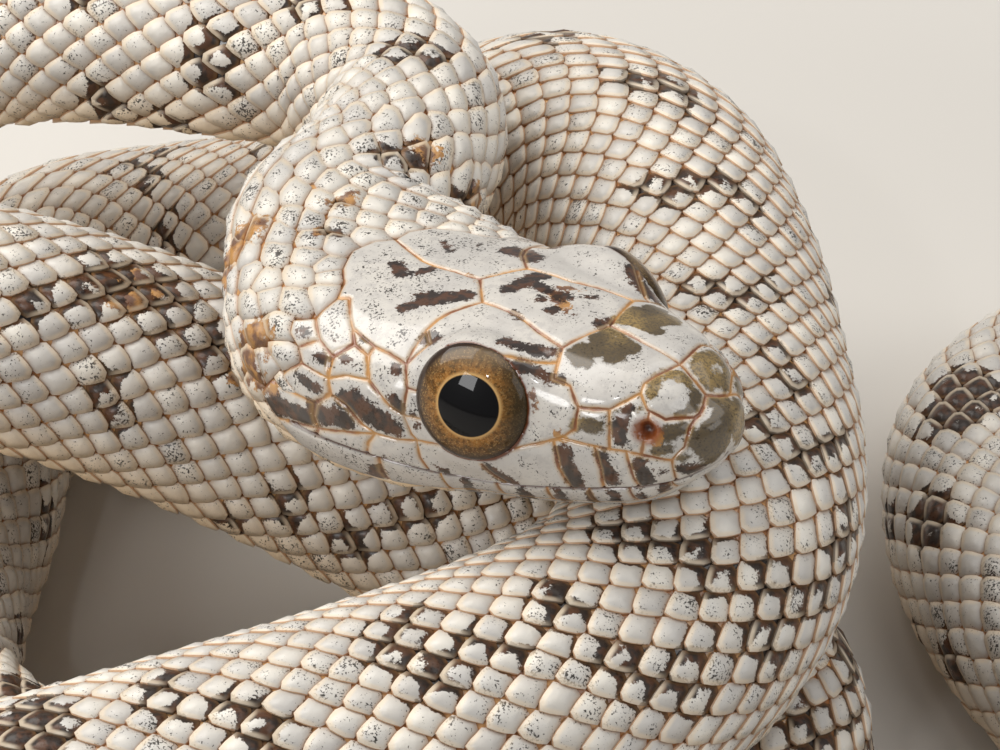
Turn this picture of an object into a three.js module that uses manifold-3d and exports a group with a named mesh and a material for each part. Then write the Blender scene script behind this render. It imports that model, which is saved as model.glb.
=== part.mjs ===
// A coiled young rat snake, life size, resting on the ground. Millimetres, +Z up.
// The animal is one long sweep along its spine, from the snout to the tail tip, parted by thin
// cuts into head, lower jaw, neck, lengths of the body and lengths of the tail. The eyes are
// separate. Distances along the spine are measured from the front of the head's axis, which is
// just ahead of the snout.
import * as THREE from 'three';
import { mergeVertices } from 'three/addons/utils/BufferGeometryUtils.js';
import Module from 'manifold-3d';

const wasm = await Module();
wasm.setup();

// ---- driving dimensions ----------------------------------------------------------------------

const CUT_GAP = 0.3; // clear space between two neighbouring lengths
const HEAD_LENGTH = 13; // front of the head's axis to the cut behind the jaw corners
const NECK_END = 24;
const VENT = 258; // where the body ends and the tail begins
const BODY_LENGTHS = 13;
const TAIL_LENGTHS = 3;
const BODY_SIDES = 18; // sides of a cross-section
const HEAD_SIDES = 32;
const BODY_STEP = 2; // spacing of the cross-sections
const GROUND = 0;

// Where the head lies: the front of its axis, the way it points, and how far it leans to its left.
const HEAD_AXIS_FRONT = new THREE.Vector3(6.159, -10.352, 18.268);
const HEAD_FORWARD = new THREE.Vector3(0.775, -0.603, 0.188).normalize();
const HEAD_UP = new THREE.Vector3(-0.079, 0.203, 0.975).normalize();
const SNOUT_TIP = [-0.7, 0, -0.15]; // in the axes of the head: forward, to the left, up
const HEAD_AXIS_STEP = 3.5;

// The spine from the neck on, one short list for each stretch of the coil.
const NECK_BEND = [
  [-4.0, 0.0, 15.8],
  [-2.9, 2.8, 15.65],
  [-2.3, 5.8, 15.4],
  [-4.0, 8.3, 15.2],
];
const TOP_COIL = [
  [-7.0, 9.6, 14.9],
  [-10.2, 10.8, 14.5],
  [-13.6, 11.6, 13.9],
  [-17.1, 11.2, 13.2],
  [-19.5, 8.6, 12.7],
  [-19.3, 5.2, 12.2],
  [-16.9, 3.4, 11.6],
];
const DOWN_UNDER_THE_HEAD = [
  [-13.5, 2.9, 10.8],
  [-10.0, 2.7, 9.6],
  [-6.4, 2.4, 8.0],
  [-2.8, 1.9, 6.2],
  [0.8, 1.1, 4.6],
  [4.2, -0.5, 3.5],
];
const INNER_GROUND_COIL = [
  [6.4, -3.6, 2.75],
  [5.7, -7.2, 2.75],
  [2.5, -9.5, 2.75],
  [-1.3, -10.2, 2.8],
  [-5.4, -10.1, 2.8],
  [-9.6, -9.2, 2.85],
  [-13.4, -7.2, 2.85],
  [-15.9, -3.8, 2.9],
  [-16.2, 0.4, 2.9],
  [-15.6, 4.6, 2.95],
  [-15.0, 8.8, 3.1],
];
const RISE_AT_THE_BACK = [
  [-12.3, 12.2, 4.0],
  [-8.5, 12.2, 4.9],
  [-5.0, 11.2, 6.3],
  [-1.7, 11.1, 8.2],
  [1.3, 10.5, 10.0],
  [3.5, 7.9, 10.9],
];
const PILLOW_COIL = [
  [4.6, 4.3, 11.1],
  [5.2, 0.4, 11.0],
  [5.5, -3.4, 10.95],
  [4.9, -7.0, 10.9],
  [3.1, -9.9, 10.85],
  [0.3, -12.0, 10.85],
  [-3.1, -13.6, 10.7],
  [-6.8, -14.9, 10.4],
  [-10.7, -15.9, 9.8],
  [-14.7, -16.8, 8.9],
];
const DOWN_TO_THE_GROUND = [
  [-18.6, -17.6, 7.4],
  [-22.4, -18.8, 5.6],
  [-25.2, -21.5, 4.2],
  [-25.4, -25.4, 3.4],
  [-22.2, -28.2, 3.05],
];
const OUTER_GROUND_COIL = [
  [-18.0, -28.4, 3.0],
  [-13.9, -27.2, 2.95],
  [-9.9, -25.6, 2.9],
  [-6.0, -23.9, 2.85],
  [-2.2, -22.1, 2.8],
  [2.0, -20.5, 2.75],
  [6.2, -18.7, 2.7],
  [10.2, -16.5, 2.65],
  [13.8, -13.9, 2.55],
  [16.6, -10.7, 2.5],
  [17.6, -6.9, 2.45],
  [16.5, -3.2, 2.35],
  [14.6, 0.2, 2.25],
  [13.2, 4.2, 2.1],
  [13.2, 8.4, 1.9],
  [15.4, 11.7, 1.75],
];
const TAIL = [
  [19.0, 12.8, 1.65],
  [22.3, 11.2, 1.55],
  [24.0, 7.9, 1.45],
  [24.3, 3.9, 1.3],
  [23.8, -0.2, 1.2],
  [23.6, -4.2, 1.05],
  [24.0, -8.2, 0.95],
  [24.0, -12.2, 0.8],
  [22.6, -15.8, 0.68],
  [19.6, -18.4, 0.55],
  [15.8, -20.4, 0.42],
  [11.8, -21.9, 0.22],
];

// Girth along the spine, as [distance from the front of the head's axis, size].
const HALF_WIDTH = [
  [0.7, 0], [0.82, 0.62], [1.1, 1.08], [1.6, 1.62], [2.7, 2.15], [4.7, 2.8], [6.7, 3.4],
  [8.7, 3.88], [10.2, 4.12], [11.7, 4.22], [13.2, 3.95], [15, 3.15], [18, 2.6], [24, 2.55],
  [34, 2.7], [50, 3.15], [69, 3.3], [94, 3.5], [114, 3.65], [132, 3.85], [144, 3.9],
  [184, 3.85], [204, 3.7], [229, 3.35], [249, 3], [258, 2.75], [264, 2.4], [276, 1.95],
  [289, 1.5], [302, 1], [311, 0.6], [316, 0.3],
];
const HEAD_TOP = [
  [0.7, 0.1], [0.82, 0.36], [1.1, 0.6], [1.38, 0.82], [1.75, 1.2], [2.1, 1.43], [2.7, 1.64],
  [4.7, 1.98], [6.7, 2.18], [8.7, 2.2], [11, 2.15], [13, 2.15], [15, 2.3], [18, 2.45],
];
const HEAD_BOTTOM = [
  [0.7, -0.45], [0.82, -0.78], [1.3, -1.32], [2, -1.85], [2.7, -2.28], [4.7, -2.75], [6.7, -2.95],
  [8.7, -3.1], [11, -3.45], [13, -3.55], [15, -3], [18, -2.2],
];
const BODY_TOP = 0.98; // height of the back and depth of the belly, as shares of the half width
const BODY_BOTTOM = -0.86;
const BODY_BEGINS = 18;

// How square each cross-section is: 2 is round, more is boxier.
const SIDE_FULLNESS = [[0, 2.6], [3, 2.7], [10, 2.6], [14, 2.3], [18, 2.2]];
const BACK_FULLNESS = [[0, 2.4], [3, 2.6], [10, 2.6], [14, 2.3], [18, 2.15]];
const BELLY_FULLNESS = [[0, 2.2], [3, 2.4], [10, 2.6], [14, 2.8], [18, 3.2]];

// Lean of the back to the animal's left, in degrees: the head leans with its axes, and the coil
// that the chin lies on is rolled outwards.
const LEAN = [[0, 6.5], [11, 6.5], [22, 0], [118, 0], [132, -16], [145, -25], [156, -24], [170, -13], [190, 0]];

// Line of the mouth in the axes of the head: [distance behind the front, height over the axis].
const MOUTH_LINE = [
  [-2, -0.6], [0.8, -0.95], [1.6, -1.28], [3.1, -1.47], [4.4, -1.65], [5.8, -1.77], [7.2, -1.66],
  [8.4, -1.38], [9.4, -1.22], [10.6, -1.3],
];
const LOWER_JAW_INSET = 0.98; // the upper lip stands a little proud of the lower one

// Eyes: centre in the axes of the head, half sizes, and the way each one looks.
const EYE_BEHIND_FRONT = 6.26;
const EYE_TO_SIDE = 3.04;
const EYE_OVER_AXIS = 0.65;
const EYE_RADIUS = 1.56;
const EYE_BULGE = 0.56; // how far it stands out of its ring
const EYE_DEPTH = 1.2; // how far it reaches into the head
const EYE_LOOK = [0.28, 0.93, 0.2]; // forward, outward, up
const NOSTRIL = [1.9, 1.8, 0.4]; // behind the front, to the side, over the axis
const NOSTRIL_RADIUS = 0.3;

// ---- the spine ---------------------------------------------------------------------------------

const headAxis = [0, 1, 2, 3].map((i) => HEAD_AXIS_FRONT.clone().addScaledVector(HEAD_FORWARD, -i * HEAD_AXIS_STEP));

const stretches = [
  NECK_BEND, TOP_COIL, DOWN_UNDER_THE_HEAD, INNER_GROUND_COIL, RISE_AT_THE_BACK, PILLOW_COIL,
  DOWN_TO_THE_GROUND, OUTER_GROUND_COIL, TAIL,
];
const spine = new THREE.CatmullRomCurve3(
  [...headAxis, ...stretches.flat().map((point) => new THREE.Vector3(...point))],
  false,
  'catmullrom',
  0.5,
);
spine.arcLengthDivisions = 4000;
const SPINE_LENGTH = spine.getLength();

// Smooth value of a [distance, value] table.
function along(table, distance) {
  const last = table.length - 1;
  const at = Math.min(Math.max(distance, table[0][0]), table[last][0]);
  let i = 0;
  while (i < last - 1 && table[i + 1][0] < at) i += 1;
  const slope = (k) => {
    const a = table[Math.max(k - 1, 0)];
    const b = table[Math.min(k + 1, last)];
    return (b[1] - a[1]) / (b[0] - a[0]);
  };
  const [x0, y0] = table[i];
  const [x1, y1] = table[i + 1];
  const span = x1 - x0;
  const t = (at - x0) / span;
  const cubic = 2 * t ** 3 - 3 * t ** 2;
  return (cubic + 1) * y0
    + (t ** 3 - 2 * t ** 2 + t) * span * slope(i)
    - cubic * y1
    + (t ** 3 - t ** 2) * span * slope(i + 1);
}

// Straight-line value of a table, for the shape numbers of the cross-section.
function straight(table, distance) {
  const last = table.length - 1;
  if (distance <= table[0][0]) return table[0][1];
  if (distance >= table[last][0]) return table[last][1];
  const i = table.findIndex(([x]) => x > distance) - 1;
  const [x0, y0] = table[i];
  const [x1, y1] = table[i + 1];
  return y0 + ((y1 - y0) * (distance - x0)) / (x1 - x0);
}

// Centre, way to the tail, back and left side of the animal at a distance from the snout.
function frameAt(distance) {
  const share = Math.min(Math.max(distance / SPINE_LENGTH, 0), 1);
  const centre = spine.getPointAt(share);
  const tailward = spine.getTangentAt(share);
  const up = new THREE.Vector3(0, 0, 1);
  up.addScaledVector(tailward, -up.dot(tailward)).normalize();
  const left = tailward.clone().cross(up);
  const lean = THREE.MathUtils.degToRad(straight(LEAN, distance));
  const back = up.clone().multiplyScalar(Math.cos(lean)).addScaledVector(left, Math.sin(lean));
  return { centre, tailward, back, left: tailward.clone().cross(back) };
}

function power(value, exponent) {
  return Math.sign(value) * Math.abs(value) ** exponent;
}

// One cross-section, from the middle of the back round by the left side.
function ring(distance, sides, shift = 0) {
  const frame = frameAt(distance);
  const halfWidth = along(HALF_WIDTH, distance);
  const inHead = distance < BODY_BEGINS;
  const top = inHead ? along(HEAD_TOP, distance) : BODY_TOP * halfWidth;
  const bottom = inHead ? along(HEAD_BOTTOM, distance) : BODY_BOTTOM * halfWidth;
  const sideShare = 2 / straight(SIDE_FULLNESS, distance);
  const backShare = 2 / straight(BACK_FULLNESS, distance);
  const bellyShare = 2 / straight(BELLY_FULLNESS, distance);
  const mouth = along(MOUTH_LINE, distance);
  const points = [];
  for (let i = 0; i < sides; i += 1) {
    const angle = (2 * Math.PI * i) / sides;
    const rise = Math.cos(angle);
    const height = rise > 0 ? top * rise ** backShare : bottom * Math.abs(rise) ** bellyShare;
    const inset = distance < HEAD_LENGTH && height < mouth ? LOWER_JAW_INSET : 1;
    const point = frame.centre.clone()
      .addScaledVector(frame.left, halfWidth * inset * power(Math.sin(angle), sideShare))
      .addScaledVector(frame.back, height)
      .addScaledVector(frame.tailward, shift);
    point.z = Math.max(point.z, GROUND);
    points.push(point);
  }
  return points;
}

// Closed skin over a row of rings. Either end is a flat face, or a point where one is given.
function skinOver(rings, startPoint = null) {
  const sides = rings[0].length;
  const positions = rings.flat();
  const triangles = [];
  for (let r = 0; r < rings.length - 1; r += 1) {
    for (let i = 0; i < sides; i += 1) {
      const a = r * sides + i;
      const b = r * sides + ((i + 1) % sides);
      triangles.push([a, b, a + sides], [b, b + sides, a + sides]);
    }
  }
  const middle = (ringPoints) => ringPoints
    .reduce((sum, point) => sum.add(point), new THREE.Vector3())
    .divideScalar(sides);
  const first = positions.push(startPoint ?? middle(rings[0])) - 1;
  const end = positions.push(middle(rings.at(-1))) - 1;
  const lastRing = (rings.length - 1) * sides;
  for (let i = 0; i < sides; i += 1) {
    const next = (i + 1) % sides;
    triangles.push([first, next, i], [end, lastRing + i, lastRing + next]);
  }
  const geometry = new THREE.BufferGeometry();
  geometry.setAttribute('position', new THREE.Float32BufferAttribute(positions.flatMap((p) => p.toArray()), 3));
  geometry.setIndex(triangles.flat());
  return geometry;
}

// ---- solids to join and cut --------------------------------------------------------------------

function toSolid(geometry) {
  const bare = geometry.clone();
  bare.deleteAttribute('normal');
  bare.deleteAttribute('uv');
  const merged = mergeVertices(bare);
  return new wasm.Manifold(new wasm.Mesh({
    numProp: 3,
    vertProperties: new Float32Array(merged.attributes.position.array),
    triVerts: new Uint32Array(merged.index.array),
  }));
}

// The largest closed surface of a solid, as a geometry.
function toGeometry(solid) {
  const largest = solid.decompose().reduce((a, b) => (a.volume() > b.volume() ? a : b));
  const mesh = largest.getMesh();
  const geometry = new THREE.BufferGeometry();
  geometry.setAttribute('position', new THREE.Float32BufferAttribute(mesh.vertProperties, 3));
  geometry.setIndex([...mesh.triVerts]);
  return geometry;
}

// Matrix of the axes of the head: X forward from the snout, Y to the left, Z up.
function headMatrix() {
  const left = HEAD_UP.clone().cross(HEAD_FORWARD);
  return new THREE.Matrix4().makeBasis(HEAD_FORWARD, left, HEAD_UP).setPosition(HEAD_AXIS_FRONT);
}

// ---- head, lower jaw and eyes ------------------------------------------------------------------

function headWithoutCuts() {
  const distances = [0.82, 0.95, 1.15, 1.45, 1.9, 2.6, 3.4, 4.3, 5.3, 6.3, 7.3, 8.3, 9.3, 10.3, 11.2, 12.1];
  const rings = distances.map((distance) => ring(distance, HEAD_SIDES));
  rings.push(ring(HEAD_LENGTH, HEAD_SIDES, -CUT_GAP / 2));
  const tip = new THREE.Vector3(...SNOUT_TIP).applyMatrix4(headMatrix());
  return toSolid(skinOver(rings, tip));
}

// Everything below the line of the mouth, moved up or down by half a gap.
function belowMouth(raise, rearEnd) {
  const deep = -8;
  const halfSpan = 8;
  const outline = new THREE.Shape();
  outline.moveTo(-MOUTH_LINE[0][0], deep);
  const steps = 14;
  for (let i = 0; i <= steps; i += 1) {
    const behind = MOUTH_LINE[0][0] + ((rearEnd - MOUTH_LINE[0][0]) * i) / steps;
    outline.lineTo(-behind, along(MOUTH_LINE, behind) + raise);
  }
  outline.lineTo(-rearEnd, deep);
  const slab = new THREE.ExtrudeGeometry(outline, { depth: 2 * halfSpan, bevelEnabled: false });
  slab.translate(0, 0, -halfSpan);
  slab.rotateX(Math.PI / 2);
  slab.applyMatrix4(headMatrix());
  return toSolid(slab);
}

function eyeMatrix(side) {
  const look = new THREE.Vector3(EYE_LOOK[0], side * EYE_LOOK[1], EYE_LOOK[2]).normalize();
  const turn = new THREE.Quaternion().setFromUnitVectors(new THREE.Vector3(0, side, 0), look);
  const place = new THREE.Vector3(-EYE_BEHIND_FRONT, side * EYE_TO_SIDE, EYE_OVER_AXIS);
  return headMatrix().multiply(new THREE.Matrix4().compose(place, turn, new THREE.Vector3(1, 1, 1)));
}

function eyeBall(side, grow) {
  const ball = new THREE.SphereGeometry(1, 22, 12);
  const points = ball.attributes.position;
  for (let i = 0; i < points.count; i += 1) {
    const outward = side * points.getY(i);
    const reach = (outward > 0 ? EYE_BULGE : EYE_DEPTH) + grow;
    points.setXYZ(
      i,
      points.getX(i) * (EYE_RADIUS + grow),
      points.getY(i) * reach,
      points.getZ(i) * (EYE_RADIUS + grow),
    );
  }
  ball.applyMatrix4(eyeMatrix(side));
  return ball;
}

function nostrilPit(side) {
  const pit = new THREE.SphereGeometry(NOSTRIL_RADIUS, 10, 8);
  pit.translate(-NOSTRIL[0], side * NOSTRIL[1], NOSTRIL[2]);
  pit.applyMatrix4(headMatrix());
  return toSolid(pit);
}

const mouthCorner = MOUTH_LINE.at(-1)[0];

function upperHead() {
  let head = headWithoutCuts().subtract(belowMouth(CUT_GAP / 2, mouthCorner));
  for (const side of [-1, 1]) {
    head = head.subtract(toSolid(eyeBall(side, CUT_GAP))).subtract(nostrilPit(side));
  }
  return toGeometry(head);
}

function lowerJaw() {
  return toGeometry(headWithoutCuts().intersect(belowMouth(-CUT_GAP / 2, mouthCorner - CUT_GAP)));
}

// ---- lengths of neck, body and tail ------------------------------------------------------------

// One length between two cuts, with both end faces flat and square to the spine.
function lengthOfBody(start, end) {
  const steps = Math.max(2, Math.round((end - start) / BODY_STEP));
  const rings = [ring(start, BODY_SIDES, CUT_GAP / 2)];
  for (let i = 1; i < steps; i += 1) {
    rings.push(ring(start + ((end - start) * i) / steps, BODY_SIDES));
  }
  const atTailTip = end >= SPINE_LENGTH;
  rings.push(ring(end, BODY_SIDES, atTailTip ? 0 : -CUT_GAP / 2));
  return skinOver(rings);
}

const MATERIALS = {
  scales: new THREE.MeshStandardMaterial({ color: '#cfc9c2', roughness: 0.45, metalness: 0 }),
  eye: new THREE.MeshStandardMaterial({ color: '#6b4c26', roughness: 0.08, metalness: 0 }),
};

const snake = new THREE.Group();

function addNode(name, geometry, material) {
  geometry.computeVertexNormals();
  const mesh = new THREE.Mesh(geometry, material);
  mesh.name = name;
  snake.add(mesh);
}

addNode('head', upperHead(), MATERIALS.scales);
addNode('lower_jaw', lowerJaw(), MATERIALS.scales);
addNode('eye_right', eyeBall(-1, 0), MATERIALS.eye);
addNode('eye_left', eyeBall(1, 0), MATERIALS.eye);
addNode('neck', lengthOfBody(HEAD_LENGTH, NECK_END), MATERIALS.scales);

function addLengths(prefix, count, start, end) {
  const each = (end - start) / count;
  for (let i = 0; i < count; i += 1) {
    const name = `${prefix}_${String(i + 1).padStart(2, '0')}`;
    addNode(name, lengthOfBody(start + i * each, start + (i + 1) * each), MATERIALS.scales);
  }
}

addLengths('body', BODY_LENGTHS, NECK_END, VENT);
addLengths('tail', TAIL_LENGTHS, VENT, SPINE_LENGTH);

// The origin is the middle of the footprint, on the ground.
const footprint = new THREE.Box3().setFromObject(snake).getCenter(new THREE.Vector3());
snake.position.set(-footprint.x, -footprint.y, GROUND);

export default snake;
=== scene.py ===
# A young rat snake, life size, coiled on the ground with its head resting on its own coil.
import math

import bmesh
import bpy
import numpy as np
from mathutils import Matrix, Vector, kdtree


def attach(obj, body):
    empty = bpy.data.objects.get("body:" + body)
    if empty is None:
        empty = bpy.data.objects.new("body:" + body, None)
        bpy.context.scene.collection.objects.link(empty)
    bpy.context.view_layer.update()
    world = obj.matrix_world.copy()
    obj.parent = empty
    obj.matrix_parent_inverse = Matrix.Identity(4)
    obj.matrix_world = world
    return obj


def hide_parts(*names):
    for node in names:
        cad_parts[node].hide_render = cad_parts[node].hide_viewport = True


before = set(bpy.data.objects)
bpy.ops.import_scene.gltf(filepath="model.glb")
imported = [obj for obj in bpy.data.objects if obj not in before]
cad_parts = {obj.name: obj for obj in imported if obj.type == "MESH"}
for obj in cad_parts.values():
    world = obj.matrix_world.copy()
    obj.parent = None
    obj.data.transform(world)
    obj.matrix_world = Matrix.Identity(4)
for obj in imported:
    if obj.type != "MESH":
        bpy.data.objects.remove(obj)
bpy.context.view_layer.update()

# ---- skin --------------------------------------------------------------------------------------
# The skin is one unbroken sleeve from the lips to the tail tip. On the head it thickens into large
# smooth shields with orange brown seams between them; from the neck back it is thin and stretchy
# and carries the scales. Sizes are in millimetres along the animal, counted from the snout.

MM = 0.001
HEAD_AXIS_STEP = 3.5  # the spine runs straight through the head, a point for each step
NECK_BEND = [(-4.0, 0.0, 15.8), (-2.9, 2.8, 15.65), (-2.3, 5.8, 15.4), (-4.0, 8.3, 15.2)]
TOP_COIL = [(-7.0, 9.6, 14.9), (-10.2, 10.8, 14.5), (-13.6, 11.6, 13.9), (-17.1, 11.2, 13.2),
            (-19.5, 8.6, 12.7), (-19.3, 5.2, 12.2), (-16.9, 3.4, 11.6)]
DOWN_UNDER_THE_HEAD = [(-13.5, 2.9, 10.8), (-10.0, 2.7, 9.6), (-6.4, 2.4, 8.0), (-2.8, 1.9, 6.2),
                       (0.8, 1.1, 4.6), (4.2, -0.5, 3.5)]
INNER_GROUND_COIL = [(6.4, -3.6, 2.75), (5.7, -7.2, 2.75), (2.5, -9.5, 2.75), (-1.3, -10.2, 2.8),
                     (-5.4, -10.1, 2.8), (-9.6, -9.2, 2.85), (-13.4, -7.2, 2.85), (-15.9, -3.8, 2.9),
                     (-16.2, 0.4, 2.9), (-15.6, 4.6, 2.95), (-15.0, 8.8, 3.1)]
RISE_AT_THE_BACK = [(-12.3, 12.2, 4.0), (-8.5, 12.2, 4.9), (-5.0, 11.2, 6.3), (-1.7, 11.1, 8.2),
                    (1.3, 10.5, 10.0), (3.5, 7.9, 10.9)]
PILLOW_COIL = [(4.6, 4.3, 11.1), (5.2, 0.4, 11.0), (5.5, -3.4, 10.95), (4.9, -7.0, 10.9),
               (3.1, -9.9, 10.85), (0.3, -12.0, 10.85), (-3.1, -13.6, 10.7), (-6.8, -14.9, 10.4),
               (-10.7, -15.9, 9.8), (-14.7, -16.8, 8.9)]
DOWN_TO_THE_GROUND = [(-18.6, -17.6, 7.4), (-22.4, -18.8, 5.6), (-25.2, -21.5, 4.2), (-25.4, -25.4, 3.4),
                      (-22.2, -28.2, 3.05)]
OUTER_GROUND_COIL = [(-18.0, -28.4, 3.0), (-13.9, -27.2, 2.95), (-9.9, -25.6, 2.9), (-6.0, -23.9, 2.85),
                     (-2.2, -22.1, 2.8), (2.0, -20.5, 2.75), (6.2, -18.7, 2.7), (10.2, -16.5, 2.65),
                     (13.8, -13.9, 2.55), (16.6, -10.7, 2.5), (17.6, -6.9, 2.45), (16.5, -3.2, 2.35),
                     (14.6, 0.2, 2.25), (13.2, 4.2, 2.1), (13.2, 8.4, 1.9), (15.4, 11.7, 1.75)]
TAIL = [(19.0, 12.8, 1.65), (22.3, 11.2, 1.55), (24.0, 7.9, 1.45), (24.3, 3.9, 1.3), (23.8, -0.2, 1.2),
        (23.6, -4.2, 1.05), (24.0, -8.2, 0.95), (24.0, -12.2, 0.8), (22.6, -15.8, 0.68),
        (19.6, -18.4, 0.55), (15.8, -20.4, 0.42), (11.8, -21.9, 0.22)]

# Where the head lies, and the girth along the spine as (distance from the snout, size).
HEAD_AXIS_FRONT = np.array([6.159, -10.352, 18.268])
HEAD_FORWARD = np.array([0.775, -0.603, 0.188]) / np.linalg.norm([0.775, -0.603, 0.188])
HEAD_UP = np.array([-0.079, 0.203, 0.975]) / np.linalg.norm([-0.079, 0.203, 0.975])
SNOUT, SNOUT_BLUNT, SNOUT_HEIGHT = 0.7, 0.12, -0.15
BODY_BEGINS = 18.0
BACK_OF_WIDTH, BELLY_OF_WIDTH = 0.98, 0.86  # the body's height over and under the spine
HALF_WIDTH = [(0.7, 0), (0.82, 0.62), (1.1, 1.08), (1.6, 1.62), (2.7, 2.15), (4.7, 2.8), (6.7, 3.4),
              (8.7, 3.88), (10.2, 4.12), (11.7, 4.22), (13.2, 3.95), (15, 3.15), (18, 2.6), (24, 2.55),
              (34, 2.7), (50, 3.15), (69, 3.3), (94, 3.5), (114, 3.65), (132, 3.85), (144, 3.9),
              (184, 3.85), (204, 3.7), (229, 3.35), (249, 3), (258, 2.75), (264, 2.4), (276, 1.95),
              (289, 1.5), (302, 1), (311, 0.6), (316, 0.3)]
HEAD_TOP = [(0.7, 0.1), (0.82, 0.36), (1.1, 0.6), (1.38, 0.82), (1.75, 1.2), (2.1, 1.43), (2.7, 1.64),
            (4.7, 1.98), (6.7, 2.18), (8.7, 2.2), (11, 2.15), (13, 2.15), (15, 2.3), (18, 2.45)]
HEAD_BOTTOM = [(0.7, -0.45), (0.82, -0.78), (1.3, -1.32), (2, -1.85), (2.7, -2.28), (4.7, -2.75),
               (6.7, -2.95), (8.7, -3.1), (11, -3.45), (13, -3.55), (15, -3), (18, -2.2)]
SIDE_FULLNESS = [(0, 2.6), (3, 2.7), (10, 2.6), (14, 2.3), (18, 2.2)]
BACK_FULLNESS = [(0, 2.4), (3, 2.6), (10, 2.6), (14, 2.3), (18, 2.15)]
BELLY_FULLNESS = [(0, 2.2), (3, 2.4), (10, 2.6), (14, 2.8), (18, 3.2)]
LEAN = [(0, 6.5), (11, 6.5), (22, 0), (118, 0), (132, -16), (145, -25), (156, -24), (170, -13), (190, 0)]
MOUTH_LINE = [(-2, -0.6), (0.8, -0.95), (1.6, -1.28), (3.1, -1.47), (4.4, -1.65), (5.8, -1.77),
              (7.2, -1.66), (8.4, -1.38), (9.4, -1.22), (10.6, -1.3)]
MOUTH_CORNER = 10.6
EYE_PLACE = np.array([-6.26, 3.04, 0.65])  # forward of the front, to the side, over the axis
EYE_LOOK = np.array([0.28, 0.93, 0.2]) / np.linalg.norm([0.28, 0.93, 0.2])
EYE_OPENING = 1.45
EYE_RIM_OUT = 0.12  # how far the eye's rim stands out
NOSTRIL = np.array([-1.9, 1.8, 0.4])
LEAST_HEIGHT = 0.004  # nothing comes nearer to the ground


def along(table, distance):
    """Smooth value of a (distance, value) table."""
    x, y = np.array(table, float).T
    last = len(x) - 1
    ahead, behind = np.minimum(np.arange(last + 1) + 1, last), np.maximum(np.arange(last + 1) - 1, 0)
    slope = (y[ahead] - y[behind]) / (x[ahead] - x[behind])
    at = np.clip(distance, x[0], x[last])
    i = np.clip(np.searchsorted(x, at) - 1, 0, last - 1)
    span = x[i + 1] - x[i]
    t = (at - x[i]) / span
    return ((2 * t**3 - 3 * t**2 + 1) * y[i] + (t**3 - 2 * t**2 + t) * span * slope[i]
            - (2 * t**3 - 3 * t**2) * y[i + 1] + (t**3 - t**2) * span * slope[i + 1])


def straight(table, distance):
    x, y = np.array(table, float).T
    return np.interp(distance, x, y)


def curve_through(waypoints):
    """A smooth curve through the waypoints, and the distance along it at each of its points."""
    p = np.array(waypoints, float)
    p = np.vstack([2 * p[0] - p[1], p, 2 * p[-1] - p[-2]])
    t = np.linspace(0, 1, 60, endpoint=False)[:, None]
    spans = [(2 * t**3 - 3 * t**2 + 1) * b + (t**3 - 2 * t**2 + t) * (c - a) / 2
             + (3 * t**2 - 2 * t**3) * c + (t**3 - t**2) * (d - b) / 2
             for a, b, c, d in zip(p, p[1:], p[2:], p[3:])]
    curve = np.vstack(spans + [p[-2:-1]])
    return curve, np.concatenate([[0], np.cumsum(np.linalg.norm(np.diff(curve, axis=0), axis=1))])


head_axis = [HEAD_AXIS_FRONT - HEAD_AXIS_STEP * i * HEAD_FORWARD for i in range(4)]
spine, spine_distance = curve_through(
    head_axis + NECK_BEND + TOP_COIL + DOWN_UNDER_THE_HEAD + INNER_GROUND_COIL + RISE_AT_THE_BACK
    + PILLOW_COIL + DOWN_TO_THE_GROUND + OUTER_GROUND_COIL + TAIL)
spine_way = np.gradient(spine, spine_distance, axis=0)
LENGTH = spine_distance[-1]

head_left = np.cross(HEAD_UP, HEAD_FORWARD)
FOOTPRINT_SHIFT = np.array([1.699, 8.02, 0])  # brings the middle of the footprint to the origin

# The outside of the snake as a fine sheet: one row for each station along the spine, one column for
# each share of the way round, from -1 and 1 in the middle of the belly to 0 in the middle of the back.
stations = np.unique(np.concatenate([
    SNOUT + SNOUT_BLUNT * np.linspace(0, 1.0, 8) ** 2, np.arange(SNOUT + SNOUT_BLUNT, 2, 0.04),
    np.arange(2, BODY_BEGINS, 0.08), np.arange(BODY_BEGINS, LENGTH, 0.25), [LENGTH]]))
COLUMNS = 241
round_share = np.linspace(-1, 1, COLUMNS)


def cross_section(distance):
    """Side and height of the outline at a station, evenly spaced by length from belly round to belly."""
    at = max(distance, SNOUT + SNOUT_BLUNT)
    width = along(HALF_WIDTH, at)
    top = along(HEAD_TOP, at) if at < BODY_BEGINS else BACK_OF_WIDTH * width
    bottom = along(HEAD_BOTTOM, at) if at < BODY_BEGINS else -BELLY_OF_WIDTH * width
    turn = np.linspace(0, math.pi, 721)
    rise = np.cos(turn)
    side = width * np.abs(np.sin(turn)) ** (2 / straight(SIDE_FULLNESS, at))
    height = np.where(rise > 0, top * np.abs(rise) ** (2 / straight(BACK_FULLNESS, at)),
                      bottom * np.abs(rise) ** (2 / straight(BELLY_FULLNESS, at)))
    if distance < at:  # the blunt front of the snout
        share = math.sqrt(max(distance - SNOUT, 1e-8) / SNOUT_BLUNT)
        side, height = side * share, SNOUT_HEIGHT + (height - SNOUT_HEIGHT) * share
    run = np.concatenate([[0], np.cumsum(np.hypot(np.diff(side), np.diff(height)))])
    even = np.linspace(0, run[-1], COLUMNS // 2 + 1)
    half_side, half_height = np.interp(even, run, side), np.interp(even, run, height)
    return (np.concatenate([-half_side[:0:-1], half_side]),
            np.concatenate([half_height[:0:-1], half_height]), run[-1])


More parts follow.
